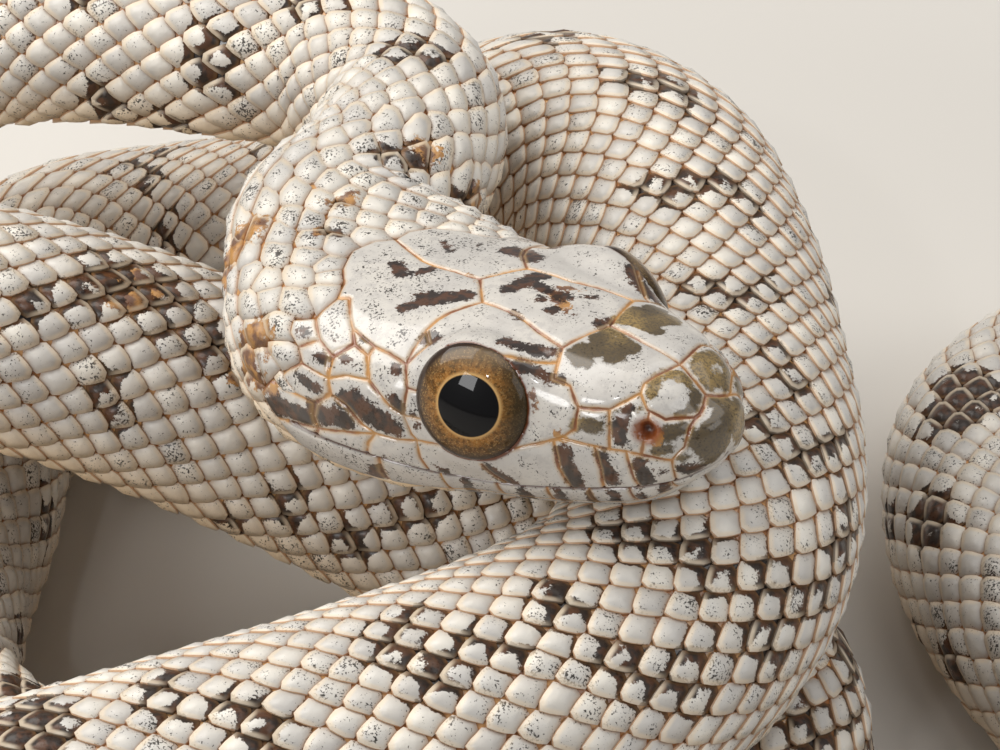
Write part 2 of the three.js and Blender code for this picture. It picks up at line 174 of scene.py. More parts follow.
sections = [cross_section(d) for d in stations]
flat_side = np.array([s[0] for s in sections])
flat_height = np.array([s[1] for s in sections])
half_round = np.array([s[2] for s in sections])
centre = np.stack([np.interp(stations, spine_distance, spine[:, k]) for k in range(3)], 1)
tailward = np.stack([np.interp(stations, spine_distance, spine_way[:, k]) for k in range(3)], 1)
tailward /= np.linalg.norm(tailward, axis=1)[:, None]
upright = np.array([0, 0, 1]) - tailward[:, 2:] * tailward
upright /= np.linalg.norm(upright, axis=1)[:, None]
leftward = np.cross(tailward, upright)
lean = np.radians(straight(LEAN, stations))[:, None]
back = upright * np.cos(lean) + leftward * np.sin(lean)
leftward = np.cross(tailward, back)
sheet = (centre[:, None] + flat_side[..., None] * leftward[:, None] + flat_height[..., None] * back[:,
                                                                                                    None])
sheet[..., 2] = np.maximum(sheet[..., 2], 0)
along_sheet = np.gradient(sheet, stations, axis=0)
round_sheet = np.gradient(sheet, round_share, axis=1)
outward = np.cross(round_sheet, along_sheet)
outward[0] = -tailward[0]
outward /= np.maximum(np.linalg.norm(outward, axis=2), 1e-9)[..., None]
outward *= np.sign(((sheet - centre[:, None]) * outward).sum(2) + 1e-6)[..., None]
outward[0] = -tailward[0]
stretch = np.linalg.norm(along_sheet, axis=2)  # how far the skin is drawn out along each bend


def read_sheet(values, distance, share):
    """Value of a sheet of numbers at places on the snake."""
    share = (share + 1) % 2 - 1
    k = np.clip(np.searchsorted(stations, distance) - 1, 0, len(stations) - 2)
    a = np.clip((distance - stations[k]) / (stations[k + 1] - stations[k]), 0, 1)
    column = (share + 1) / 2 * (COLUMNS - 1)
    m = np.clip(column.astype(int), 0, COLUMNS - 2)
    b = column - m
    if values.ndim == 3:
        a, b = a[..., None], b[..., None]
    return ((1 - a) * ((1 - b) * values[k, m] + b * values[k, m + 1])
            + a * ((1 - b) * values[k + 1, m] + b * values[k + 1, m + 1]))


def place_on_snake(distance, share, lift):
    """Points in metres at places on the snake, raised over its outside by lift millimetres."""
    points = read_sheet(sheet, distance, share)
    ways = read_sheet(outward, distance, share)
    ways /= np.linalg.norm(ways, axis=-1)[..., None]
    points = points + ways * np.asarray(lift)[..., None]
    points[..., 2] = np.maximum(points[..., 2], LEAST_HEIGHT)
    return (points + FOOTPRINT_SHIFT) * MM


def half_way_round(distance):
    return np.interp(distance, stations, half_round)


# Places on the head are given as seen from above, from beside or from below. The animal's right is
# negative. Each is turned into its distance behind the snout and its share of the way round.
def outline_at(distance):
    side, height, _ = cross_section(distance)
    half = COLUMNS // 2
    return side[half:], height[half:], round_share[half:]


def above(distance, side):
    sides, _, shares = outline_at(distance)
    widest = int(np.argmax(sides))
    return distance, math.copysign(np.interp(abs(side), sides[:widest], shares[:widest]), side)


def beside(distance, height):
    _, heights, shares = outline_at(distance)
    return distance, np.interp(height, heights[::-1], shares[::-1])


def below(distance, side):
    sides, _, shares = outline_at(distance)
    widest = int(np.argmax(sides))
    return distance, np.interp(-abs(side), -sides[widest:], shares[widest:])


def lip(distance):
    return beside(distance, along(MOUTH_LINE, distance))


def seen(*steps):
    """Places on the head. Each one is read in the view that was last named before it."""
    places = []
    for step in steps:
        if callable(step):
            view = step
        else:
            places.append(view(*step))
    return places


MIDDLE_SEAMS = [
    seen(above, (8.23, 0), (9.1, 0.07), (10.3, -0.05), (11.75, 0)),  # between the parietals
    seen(above, (4.28, 0), (3.23, -0.04), (2.15, 0)),  # between the prefrontals
    seen(above, (2.15, 0), (1.75, -0.03), (1.36, 0)),  # between the internasals
    seen(below, (1.5, 0), (4.3, 0), (7.0, 0)),  # between the chin shields
]
# Hind edge of the head shields. The small scales of the neck begin behind it.
NAPE_EDGE = seen(above, (11.75, 0), (11.95, 0.5), (11.85, 1.2), (11.33, 1.82), (10.8, 2.15), (10.5, 2.6),
                 beside, (10.5, 1.69), (10.47, 1.57), (10.9, 1.35), (10.76, 1.11), (10.43, 0.97),
                 (10.28, 0.68), (10.66, 0.05), (10.4, -0.26), (11.05, -0.4), (11.4, -0.95), (11.0, -1.5),
                 below, (10.6, 3.6), (9.2, 3.1), (8.0, 2.7), (7.6, 2.0), (7.3, 1.2), (7.0, 0))
PAIRED_SEAMS = [
    seen(above, (8.23, 0), (7.51, 0.96), (6.9, 1.02), (6.29, 1.04), (5.48, 1.29), (4.67, 1.42),
         (4.28, 0)),  # round the frontal
    seen(above, (7.51, 0.96), (8.04, 1.62), (8.2, 1.96), (8.28, 2.34), (7.95, 2.72)),  # brow to parietal
    seen(above, (4.67, 1.42), (4.5, 1.83), (4.95, 2.1), (5.75, 2.46)),  # front of the brow shield
    seen(above, (2.3, 1.42), (2.36, 1.17), (2.21, 0.45), (2.15, 0)),  # prefrontal to internasal
    seen(above, (1.36, 0), (1.22, 0.3), (1.15, 0.57)),  # top of the rostral
    seen(above, (8.28, 2.34), beside, (8.32, 1.42), (8.8, 1.55), (9.14, 1.59), (9.76, 1.72),
         above, (10.31, 2.41), (10.5, 2.6)),  # outer edge of the parietal
    seen(above, (4.5, 1.83), beside, (4.36, 1.4), (3.93, 1.3), (3.57, 0.86), (3.2, 0.86), (2.83, 0.88),
         (2.5, 1.1), above, (2.3, 1.42)),  # side of the prefrontal
    seen(beside, (3.57, 0.86), (3.62, 0.3), (3.97, 0.0)),  # preocular to loreal
    seen(beside, (2.83, 0.88), (2.78, 0.4), (2.8, 0.0), (2.8, -0.15)),  # loreal to nasal
    # Nasal, above.
    seen(above, (2.3, 1.42), beside, (1.99, 0.9), (1.58, 0.66), above, (1.18, 0.75), (1.15, 0.57)),
    seen(beside, (1.95, 0.88), (1.92, 0.62)),
    seen(beside, (1.98, 0.15), (2.08, -0.28)),
    seen(above, (1.15, 0.57), beside, (1.14, 0.2), (1.2, -0.15), (1.44, -0.47), (1.5, -0.95),
         lip, (1.6,)),
    seen(beside, (1.44, -0.47), (1.87, -0.33), (2.42, -0.2), (3.16, -0.12), (3.97, 0.0), (4.5, -0.2),
         (5.3, -0.42)),  # above the front lip shields
    seen(beside, (2.42, -0.2), (2.38, -0.8), lip, (2.35,)),
    seen(beside, (3.16, -0.12), (3.1, -0.8), lip, (3.18,)),
    seen(beside, (4.17, -0.08), (4.15, -0.9), lip, (4.0,)),
    seen(beside, (6.0, -0.92), (5.85, -1.4), lip, (5.6,)),
    seen(beside, (7.98, -0.48), (8.0, -1.0), lip, (7.85,)),
    seen(beside, (8.92, -0.46), (9.1, -0.8), lip, (9.2,)),
    seen(beside, (10.0, -0.95), lip, (10.1,)),
    seen(above, (7.95, 2.72), beside, (8.32, 1.42), (8.14, 0.93), (8.24, 0.2), (8.1, -0.3), (7.96, -0.48),
         (6.9, -0.52)),  # behind the eye
    seen(beside, (8.14, 0.93), (7.4, 0.8)),
    seen(beside, (8.2, 0.2), (7.4, 0.12)),
    # Above the hind lip shields.
    seen(beside, (7.98, -0.48), (8.5, -0.52), (8.92, -0.46), (9.5, -0.68), (10.0, -0.95), (11.0, -1.5)),
    seen(beside, (8.24, 0.2), (8.54, 0.4), (9.02, 0.96), (9.18, 1.42), (9.14, 1.59)),  # temples
    seen(beside, (9.02, 0.96), (9.45, 0.9), (9.76, 0.66), (9.7, 0.28), (9.42, 0.1), (9.15, -0.3),
         (8.92, -0.46)),
    seen(beside, (9.18, 1.42), (9.52, 1.52), (9.78, 1.17), (9.76, 0.66)),
    seen(beside, (9.52, 1.52), (9.76, 1.72)),
    seen(beside, (9.78, 1.17), (10.14, 1.33), (10.47, 1.57)),
    seen(beside, (10.14, 1.33), (10.43, 0.97)),
    seen(beside, (9.76, 0.66), (10.28, 0.68)),
    seen(beside, (9.7, 0.28), (10.0, -0.2), (10.4, -0.26)),
    seen(beside, (10.0, -0.2), (10.05, -0.6), (10.0, -0.95)),
    seen(below, (1.5, 0), (1.55, 0.4), (2.1, 0.85), (3.0, 1.35), (4.2, 1.75), (6.0, 2.3), (7.7, 2.75),
         (9.2, 3.1)),  # below the lower lip shields
    seen(below, (4.3, 0), (4.6, 1.0), (4.6, 1.88)),
    *[[lip(start), below(start + 0.2, edge)] for start, edge in
      [(1.7, 0.65), (2.6, 1.15), (3.6, 1.55), (4.7, 1.9), (6.0, 2.25), (7.6, 2.7), (9.0, 3.0)]],
]


def dense(seam, flip=1):
    """Closely spaced places along a seam. A flip of -1 gives it on the other side."""
    corners = np.array([(d, flip * s) for d, s in seam])
    run = np.concatenate([[0], np.cumsum(np.hypot(np.diff(corners[:, 0]), 10 * np.diff(corners[:, 1])))])
    at = np.arange(0, run[-1] + 0.01, 0.02)
    return np.stack([np.interp(at, run, corners[:, 0]), np.interp(at, run, corners[:, 1])], 1)


def laid_straight(distance, share):
    """The same places on a snake laid out straight, for measuring distances on its outside."""
    return np.stack([distance, read_sheet(flat_side, distance, share),
                     read_sheet(flat_height, distance, share)], -1)


def tree_of(places):
    points = laid_straight(places[:, 0], places[:, 1])
    tree = kdtree.KDTree(len(points))
    for i, point in enumerate(points):
        tree.insert(point, i)
    tree.balance()
    return tree


def distance_to(tree, points):
    return np.array([tree.find(point)[2] for point in points])


nape_shares = np.maximum.accumulate([s for _, s in NAPE_EDGE] + 1e-5 * np.arange(len(NAPE_EDGE)))
nape_distances = np.array([d for d, _ in NAPE_EDGE])


def behind_the_nape(distance, share):
    """How far behind the hind edge of the head shields a place is. Negative is on the shields."""
    return distance - np.interp(np.abs(share), nape_shares, nape_distances)


both_sides = PAIRED_SEAMS + [NAPE_EDGE]
seam_tree = tree_of(np.vstack([dense(s) for s in MIDDLE_SEAMS + both_sides]
                              + [dense(s, -1) for s in both_sides]))
lips = [lip(d) for d in np.arange(0.84, MOUTH_CORNER, 0.15)]
mouth_tree = tree_of(np.vstack([dense(lips), dense(lips, -1)]))


# The eye stands a little proud of the head, so the skin rises round it to meet the eye's rim. The rim
# is followed by its direction from the middle of the eye: how far it is, and how high it stands.
around_eye = np.flatnonzero((stations > 3.5) & (stations < 9.5))
near_sheet = laid_straight(*[place.ravel() for place in np.meshgrid(
    stations[around_eye], round_share[COLUMNS // 2 + 8:], indexing="ij")]).reshape(len(around_eye), -1, 3)
near_points = near_sheet.reshape(-1, 3)
near_out = np.cross(np.gradient(near_sheet, axis=1), np.gradient(near_sheet, axis=0)).reshape(-1, 3)
near_out /= np.linalg.norm(near_out, axis=1)[:, None]
near_out *= np.sign(near_out[:, 1:2] * near_points[:, 1:2] + near_out[:, 2:] * near_points[:, 2:])
look_straight = EYE_LOOK * (-1, 1, 1)
rise_straight = np.array([0, 0, 1]) - look_straight[2] * look_straight
rise_straight /= np.linalg.norm(rise_straight)
ahead_straight = np.cross(rise_straight, look_straight)
rim_turn = np.linspace(-math.pi, math.pi, 121)[:-1]
rim_points = (EYE_PLACE * (-1, 1, 1) + EYE_RIM_OUT * look_straight + EYE_OPENING * (
    np.cos(rim_turn)[:, None] * ahead_straight + np.sin(rim_turn)[:, None] * rise_straight))
nearest = np.array([np.argmin(((near_points - point) ** 2).sum(1)) for point in rim_points])
rim_height = ((rim_points - near_points[nearest]) * near_out[nearest]).sum(1)
rim_distance = stations[around_eye][nearest // near_sheet.shape[1]]
rim_arc = round_share[COLUMNS // 2 + 8:][nearest % near_sheet.shape[1]] * half_way_round(rim_distance)
eye_middle = np.array([rim_distance.mean(), rim_arc.mean()])
rim_way = np.arctan2(rim_arc - eye_middle[1], rim_distance - eye_middle[0])
rim_reach = np.hypot(rim_arc - eye_middle[1], rim_distance - eye_middle[0])
order = np.argsort(rim_way)
smooth = np.ones(7) / 7


def all_round(values):
    """Values at the rim, in order of direction, smoothed and repeated past each end."""
    ring = values[order]
    ring = np.convolve(np.concatenate([ring[-3:], ring, ring[:3]]), smooth, "valid")
    return np.concatenate([ring[-4:], ring, ring[:4]])


rim_ways = rim_way[order]
rim_ways = np.concatenate([rim_ways[-4:] - 2 * math.pi, rim_ways, rim_ways[:4] + 2 * math.pi])


def past_the_eye(distance, share):
    """How far outside the rim of the nearer eye a place is, and how high the rim stands there."""
    arc = np.abs(share) * half_way_round(distance)
    way = np.arctan2(arc - eye_middle[1], distance - eye_middle[0])
    away = np.hypot(arc - eye_middle[1], distance - eye_middle[0])
    reach, height = [np.interp(way, rim_ways, all_round(values)) for values in (rim_reach, rim_height)]
    return away - reach, height


LAST_STROKE = 17  # no stroke reaches farther back


def strokes(view, *rows):
    """Strokes seen in one view: each row is a half width and the places that the stroke runs through."""
    return [([view(*place) for place in places], half_width) for half_width, *places in rows]


# Dark, olive and rust marks of the head and neck. The marks beside are those of the right, and the left
# has them with small changes.
DARK_ABOVE = strokes(
    above, (0.19, (6.96, 0.78), (7.15, 0.55), (7.2, 0.1), (7.25, -0.2)),
    (0.16, (6.75, 0.35), (6.4, 0.25)), (0.17, (6.1, 0.15), (5.8, 0.3)), (0.15, (6.3, -0.15)),
    (0.15, (5.75, -0.42)), (0.1, (5.2, -0.3)), (0.1, (5.5, 0.6), (5.3, 0.75)),
    (0.13, (9.2, -1.94), (8.98, -1.72)), (0.32, (8.92, -1.36), (8.56, -1.2)),
    (0.22, (8.35, -1.05), (8.05, -0.85)), (0.17, (10.6, -0.75), (10.2, -0.88)),
    (0.09, (10.1, -0.85), (9.82, -0.58), (9.76, -0.2)), (0.08, (9.76, -0.3)),
    (0.3, (8.55, 1.7), (8.1, 1.68), (7.8, 1.62)), (0.2, (8.2, 1.9)), (0.09, (10.9, 0.93), (10.3, 0.75)),
    (0.13, (10.15, 0.76)), (0.08, (9.8, 1.62)), (0.2, (8.1, -2.52), (7.85, -2.62)),
    (0.14, (5.84, -2.06), (5.4, -1.95), (4.75, -1.68)), (0.14, (4.5, -0.13)), (0.1, (4.4, 0.12)),
    (0.06, (6.46, -1.02), (6.2, -1.1)), (0.2, (5.6, 2.3), (5.0, 2.1)), (0.15, (7.85, 2.66)),
    (0.07, (9.5, 2.3)), (0.2, (13.85, -0.55)), (0.2, (13.0, -1.25), (12.7, -1.1)))
DARK_BESIDE = strokes(
    beside, (0.16, (5.19, 1.5), (4.71, 1.46), (4.3, 1.4)), (0.15, (2.37, 0.95), (2.55, 0.5), (2.5, 0.15)),
    (0.21, (3.97, -0.42), (3.88, -0.87), (3.85, -1.3)),
    (0.19, (3.02, -0.36), (2.92, -0.74), (2.92, -1.14)),
    (0.16, (2.18, -0.48), (2.11, -0.83), (2.08, -1.15)), (0.1, (1.68, -0.8)),
    (0.17, (5.84, -1.04), (5.67, -1.39), (5.55, -1.6)), (0.12, (7.55, -1.22), (7.2, -1.5)),
    (0.12, (8.9, -1.2)), (0.29, (9.3, 0.3), (9.05, 0.16), (8.62, -0.08)), (0.2, (8.5, -0.2)),
    (0.29, (9.83, -0.38), (9.57, -0.33)), (0.28, (11.05, -1.15), (10.6, -0.86), (10.25, -0.8)),
    (0.13, (8.44, 0.62), (8.32, 0.42)), (0.06, (7.95, 0.6), (7.92, 0.3)), (0.07, (7.88, -0.05)),
    (0.06, (8.55, 1.38), (8.48, 1.25)), (0.12, (10.45, 1.27)), (0.1, (9.9, 1.5)), (0.12, (9.92, 1.02)),
    (0.11, (9.52, 1.24)), (0.12, (10.2, 0.3), (10.0, 0.28)), (0.06, (9.42, 1.62)), (0.14, (11.3, -0.33)),
    (0.12, (11.6, 1.05)), (0.12, (11.0, 0.5)), (0.17, (6.85, -1.95), (7.1, -2.4)),
    (0.15, (5.4, -1.95), (5.6, -2.4)), (0.15, (4.45, -1.85), (4.67, -2.35)),
    (0.14, (3.68, -1.78), (3.83, -2.2)), (0.13, (3.07, -1.68), (3.3, -2.1)),
    (0.12, (2.42, -1.62), (2.6, -1.95)), (0.12, (1.92, -1.42), (2.1, -1.75)),
    (0.15, (9.2, -1.75), (9.3, -2.1)), (0.12, (1.3, -0.75), (1.2, -0.95)))
OLIVE_ABOVE = strokes(
    above, (0.34, (4.1, -1.3), (3.8, -0.85), (3.35, -0.5)), (0.25, (4.15, -0.7), (3.6, -0.4)),
    (0.3, (3.4, -1.0)), (0.42, (4.1, 0.6), (3.75, 0.85), (3.5, 1.3)), (0.3, (4.0, 1.3)),
    (0.17, (2.06, -1.25), (2.2, -0.8), (1.95, -0.35), (1.5, -0.25)),
    (0.13, (1.5, -0.25), (1.28, -0.62), (1.45, -1.1)), (0.24, (1.85, 0.25), (2.0, 0.7), (1.85, 1.3)),
    (0.2, (1.5, 0.4), (1.35, 0.8), (1.55, 1.1)), (0.18, (1.2, -0.1), (1.05, 0.4)),
    (0.2, (4.19, -0.22), (3.8, -0.22), (3.3, -0.42)), (0.2, (4.35, -1.4), (4.1, -1.6), (3.8, -1.5)),
    (0.25, (3.8, 0.55), (3.25, 0.55)), (0.25, (4.2, 1.4), (3.9, 1.6)), (0.22, (2.1, -0.5), (1.8, -0.25)),
    (0.26, (2.0, 0.6), (1.6, 0.3)), (0.22, (4.0, -1.6), (4.3, -1.2)), (0.3, (4.2, 0.35), (4.2, 1.0)))
OLIVE_ABOVE.append(([(0.72, -0.45), (0.72, 0.45)], 0.36))  # across the front of the snout
OLIVE_BESIDE = strokes(
    beside, (0.2, (3.6, 0.42), (3.35, 0.5), (3.1, 0.42)), (0.2, (1.2, 0.4), (1.3, 0.36), (1.6, 0.3)),
    (0.14, (1.5, -0.1), (1.75, -0.15)), (0.2, (0.86, 0.25), (1.0, 0.0)),
    (0.11, (0.9, -0.62), (1.15, -0.82)), (0.12, (1.25, -0.45)), (0.1, (2.2, 0.98)), (0.12, (1.55, 0.5)),
    (0.12, (2.6, 0.8), (2.2, 0.9)))
RUST_BESIDE = strokes(
    beside, (0.09, (4.71, 1.15), (4.6, 0.8)), (0.06, (4.6, 0.45), (4.62, 0.0)), (0.36, (1.9, 0.4)),
    (0.08, (4.1, 0.15), (3.95, 0.0)), (0.4, (11.6, 0.7), (11.9, 0.2)), (0.38, (11.9, -0.3), (12.0, -0.8)),
    (0.22, (11.2, 0.6), (11.2, 0.2)), (0.13, (11.5, 1.1), (11.2, 1.28)),
    (0.2, (11.3, -0.8), (10.9, -0.6)))
RUST_ABOVE = strokes(
    above, (0.2, (8.05, 1.75)), (0.07, (6.1, -1.1), (5.6, -1.25)), (0.09, (8.3, -0.1), (8.6, 0.1)),
    (0.22, (6.3, 0.2), (5.8, 0.0)), (0.1, (6.4, 0.5), (5.8, 0.8)), (0.11, (5.6, 0.0), (5.4, -0.35)))


def stroke_depth(marks, distance, share, side=0, jitter=0.0):
    """How deep inside the nearest stroke each place is, in millimetres. Negative is outside."""
    best = np.full(distance.shape, -1.0)
    near = distance < LAST_STROKE
    d, s = distance[near], share[near]
    found = best[near]
    dice = np.random.default_rng(5)
    for places, half_width in marks:
        moved = dice.normal(0, jitter, 3)
        path = np.array(places, float)
        if side:
            path[:, 1] = side * np.abs(path[:, 1])
        reach = float(half_way_round(path[:, 0].mean()))
        path = path * (1, reach) + moved[:2]
        path = np.vstack([path, path[-1:] + 0.001])
        for a, b in zip(path, path[1:]):
            u, v = d - a[0], s * reach - a[1]
            t = np.clip((u * (b[0] - a[0]) + v * (b[1] - a[1])) / ((b - a) @ (b - a)), 0, 1)
            found = np.maximum(found, half_width * (1 + moved[2]) - np.hypot(u - t * (b[0] - a[0]),
                                                                             v - t * (b[1] - a[1])))
    best[near] = found
    return best


def mark_depth(marks, distance, share):
    """The same for the oval blotches of the body: place, half length, half width, turn in degrees."""
    best = np.full(distance.shape, -1.0)
    reach = half_way_round(distance)
    for (at, way_round), long, wide, turn in marks:
        u = distance - at
        v = (share - way_round) * reach
        c, s = math.cos(math.radians(turn)), math.sin(math.radians(turn))
        radius = np.hypot((c * u + s * v) / long, (-s * u + c * v) / wide)
        best = np.maximum(best, np.clip((1 - radius) * min(long, wide), -1, 1))
    return best


# Blotches of the body, counted the same way: the crossbars of the back and the spots of the flanks.
dice = np.random.default_rng(21)
# On the near coils each bar is given: distance, then how far its two ends are from the middle of the back.
CROSSBARS = [(17, 0.7, 1.5), (17.5, 3.1, 3.6), (20.9, -0.6, 0.3), (27.1, -3.2, -2.3), (28.3, -5.6, -5.2),
             (31, -5, -4.2), (24.3, -0.8, 0.4), (31.5, -1.6, -0.2), (54.1, -0.2, 1.2), (54.9, -0.3, 1.0),
             (55.9, -0.2, 1.2), (52.6, 1.7, 2.4), (55.6, 3.1, 4.3), (57.2, 1.3, 1.9), (61, 4.7, 5.1),
             (64, 3, 3.6), (76.8, -3.5, -3), (78.4, -2.6, -1.7), (125.3, -0.8, 0.6), (126.4, 2.8, 3.7),
             (129.6, -1.5, 0.4), (133.2, 0.2, 2.2), (137, -1.2, 0.6), (141, -0.1, 1.5), (144.8, -0.1, 2.8),
             (148.8, -0.2, 2.0), (151.7, -0.4, -0.1), (153.8, -0.9, 0.5), (152.9, -2.3, -1.7),
             (154.3, -3.4, -2.7), (155.5, -3.5, -2.8), (156.6, -3.4, -2.8), (157.8, -3.7, -1.0),
             (158.5, -0.4, 1.0), (159.4, 1.1, 2.1), (160.2, -3.1, -2.1), (160.9, -1.9, -1.3),
             (161.7, 0.3, 0.9), (163.4, -0.2, 0.3), (164.9, -0.5, 1.7), (139, -3.4, -2.4),
             (143.5, -3.8, -3.1), (147, -3.6, -2.8), (169.6, -1.4, 0.2), (171, 0.6, 1.6),
             (172.5, -3.2, -2.2)]
BAR_SPACING = 4.9
UPPER_SPOTS, LOWER_SPOTS = 0.47, 0.62  # the two rows on each flank, as shares of the way round
bar_places = [36.5, 41.2, 46, 50.2, 60.5, 65.5, *np.arange(70.5, 124, BAR_SPACING)]
bar_places += list(np.arange(174.6, LENGTH - 6, BAR_SPACING))
body_blotches = []
for at in bar_places:
    girth = float(along(HALF_WIDTH, at))
    reach = float(half_way_round(at))
    for _ in range(3):
        offset = dice.normal(0, 0.55 * girth)
        body_blotches.append(((at + dice.normal(0, 0.5), offset / reach),
                              0.5 * girth**0.3 + 0.25 * dice.random(),
                              0.36 * girth * (0.7 + 0.5 * dice.random()), dice.normal(0, 18)))
    for side in (-1, 1):
        body_blotches.append(((at + 2.2 + dice.normal(0, 0.5), side * UPPER_SPOTS + dice.normal(0, 0.02)),
                              0.42 + 0.2 * dice.random(), 0.2 * girth, dice.normal(0, 25)))
        if dice.random() < 0.6:
            body_blotches.append(((at + dice.normal(0, 0.8), side * LOWER_SPOTS), 0.3, 0.12 * girth, 0))
for at, first, last in CROSSBARS:
    for across in np.arange(first, last + 0.3, 0.55):
        spot = at + dice.normal(0, 0.35), (across + dice.normal(0, 0.1)) / half_way_round(at)
        body_blotches.append((spot, 0.3 + 0.35 * dice.random(), 0.25 + 0.2 * dice.random(),
                              dice.normal(0, 25)))
GOLD_ON_NECK = [((14.2, -0.36), 0.5, 1.35, 0), ((13.95, -0.03), 0.3, 0.75, 0),
                ((13.05, -0.13), 0.22, 0.5, 0), ((17.8, 0.46), 0.5, 0.75, 0), ((17.4, 0.18), 0.35, 0.7, 0),
                ((55, 0.06), 1.0, 0.9, 0), ((58.4, 0.17), 0.6, 0.6, 0)]


def dark_at(distance, share):
    dark = np.maximum(stroke_depth(DARK_ABOVE, distance, share), mark_depth(body_blotches, distance, share))
    dark = np.maximum(dark, stroke_depth(DARK_BESIDE, distance, share, -1))
    return np.maximum(dark, stroke_depth(DARK_BESIDE, distance, share, 1, 0.06))


def olive_at(distance, share):
    olive = np.maximum(stroke_depth(OLIVE_ABOVE, distance, share),
                       stroke_depth(OLIVE_BESIDE, distance, share, -1))
    return np.maximum(olive, stroke_depth(OLIVE_BESIDE, distance, share, 1, 0.05))


def rust_at(distance, share):
    rust = np.maximum(stroke_depth(RUST_ABOVE, distance, share), mark_depth(GOLD_ON_NECK, distance, share))
    rust = np.maximum(rust, stroke_depth(RUST_BESIDE, distance, share, -1))
    return np.maximum(rust, stroke_depth(RUST_BESIDE, distance, share, 1, 0.05))


HEAD_SKIN_END = 15.0
HEAD_STEP = 0.115
FINE_SEAMS_END = 12.2  # the mesh is finer along the seams up to here
SLEEVE_DEPTH = 0.18
head_rows = np.concatenate([stations[:8], np.arange(0.86, 1.8, 0.055),
                            np.arange(1.8, HEAD_SKIN_END + 0.01, HEAD_STEP)])
head_columns = 176

skin = bmesh.new()
bmesh.ops.create_grid(skin, x_segments=head_columns, y_segments=len(head_rows) - 1, size=1)
row_of = np.linspace(-1, 1, len(head_rows))
for vert in skin.verts:
    vert.co = (vert.co.x, np.interp(vert.co.y, row_of, head_rows), 0)


def seam_distance(verts):
    places = np.array([vert.co for vert in verts])
    points = laid_straight(places[:, 1], places[:, 0])
    seam = distance_to(seam_tree, points)
    seam = np.minimum(seam, distance_to(mouth_tree, points) * 0.8)
    return np.minimum(seam, np.abs(past_the_eye(places[:, 1], places[:, 0])[0]))


for reach in ((0.13, 0.07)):
    skin.verts.ensure_lookup_table()
    near = seam_distance(skin.verts) < reach
    for vert, close in zip(skin.verts, near):
        vert.tag = bool(close) and vert.co.y < FINE_SEAMS_END
    edges = [edge for edge in skin.edges if any(vert.tag for vert in edge.verts)]
    bmesh.ops.subdivide_edges(skin, edges=edges, cuts=1, use_grid_fill=True)

places = np.array([vert.co for vert in skin.verts])
head_distance, head_share = places[:, 1], places[:, 0]
points = laid_straight(head_distance, head_share)
seam = np.minimum(distance_to(seam_tree, points), 1)
mouth = np.minimum(distance_to(mouth_tree, points), 1)
eye_away, eye_height = past_the_eye(head_distance, head_share)
nostril_away = np.minimum(*[np.linalg.norm(points * (-1, side, 1) - NOSTRIL, axis=1) for side in (-1, 1)])
nape = behind_the_nape(head_distance, head_share)
line_height = along(MOUTH_LINE, head_distance)


def ramp(value, low, high):
    t = np.clip((value - low) / (high - low), 0, 1)
    return t * t * (3 - 2 * t)


on_shields = 1 - ramp(nape, -0.02, 0.1)
groove = np.minimum(np.minimum(seam, mouth), np.abs(eye_away - 0.05))
swell = 0.04 + 0.05 * ramp(head_distance, 3.5, 1.5)
swell_reach = 0.13 + 0.14 * ramp(head_distance, 3.5, 1.5)
lift = -0.02 - swell * np.exp(-(groove / swell_reach) ** 1.5) - 0.04 * np.exp(-(seam / 0.03) ** 2)
lift -= 0.14 * np.exp(-(mouth / 0.055) ** 2)
below_lip = ramp(line_height - points[:, 2], 0, 0.1) * (head_distance < MOUTH_CORNER)
lift -= 0.012 * np.abs(points[:, 1]) * below_lip * ramp(MOUTH_CORNER - head_distance, 0, 1)
lift -= 0.16 * (1 - on_shields)
collar = ramp(eye_away, 0.95, 0.0)
lift += (eye_height + 0.02) * collar + 0.035 * np.exp(-((eye_away - 0.07) / 0.06) ** 2)
lift -= 1.0 * ramp(eye_away, 0.0, -0.12)
lift -= 0.3 * (1 - ramp(nostril_away, 0.1, 0.3))
lift += 0.03 * np.exp(-((nostril_away - 0.34) / 0.08) ** 2)

layers = {name: skin.verts.layers.float.new(name) for name in
          ("seam", "mouth", "nape", "dark", "olive", "rust", "round", "eye", "nostril")}
head_values = {"seam": seam, "mouth": mouth, "nape": nape, "dark": dark_at(head_distance, head_share),
               "olive": olive_at(head_distance, head_share), "rust": rust_at(head_distance, head_share),
               "round": np.abs(head_share) * ramp(head_distance, 7, 12.5), "eye": eye_away,
               "nostril": nostril_away}
bake_map = skin.loops.layers.uv.new("OFBake")
for face in skin.faces:
    face.smooth = True
    for loop in face.loops:
        loop[bake_map].uv = (0.02 + 0.48 * (loop.vert.co.x + 1),
                             0.01 + 0.84 * (loop.vert.co.y - SNOUT) / HEAD_SKIN_END)
head_points = place_on_snake(head_distance, head_share, lift)
for i, (vert, point) in enumerate(zip(skin.verts, head_points)):
    for name, values in head_values.items():
        vert[layers[name]] = values[i]
    vert.co = point

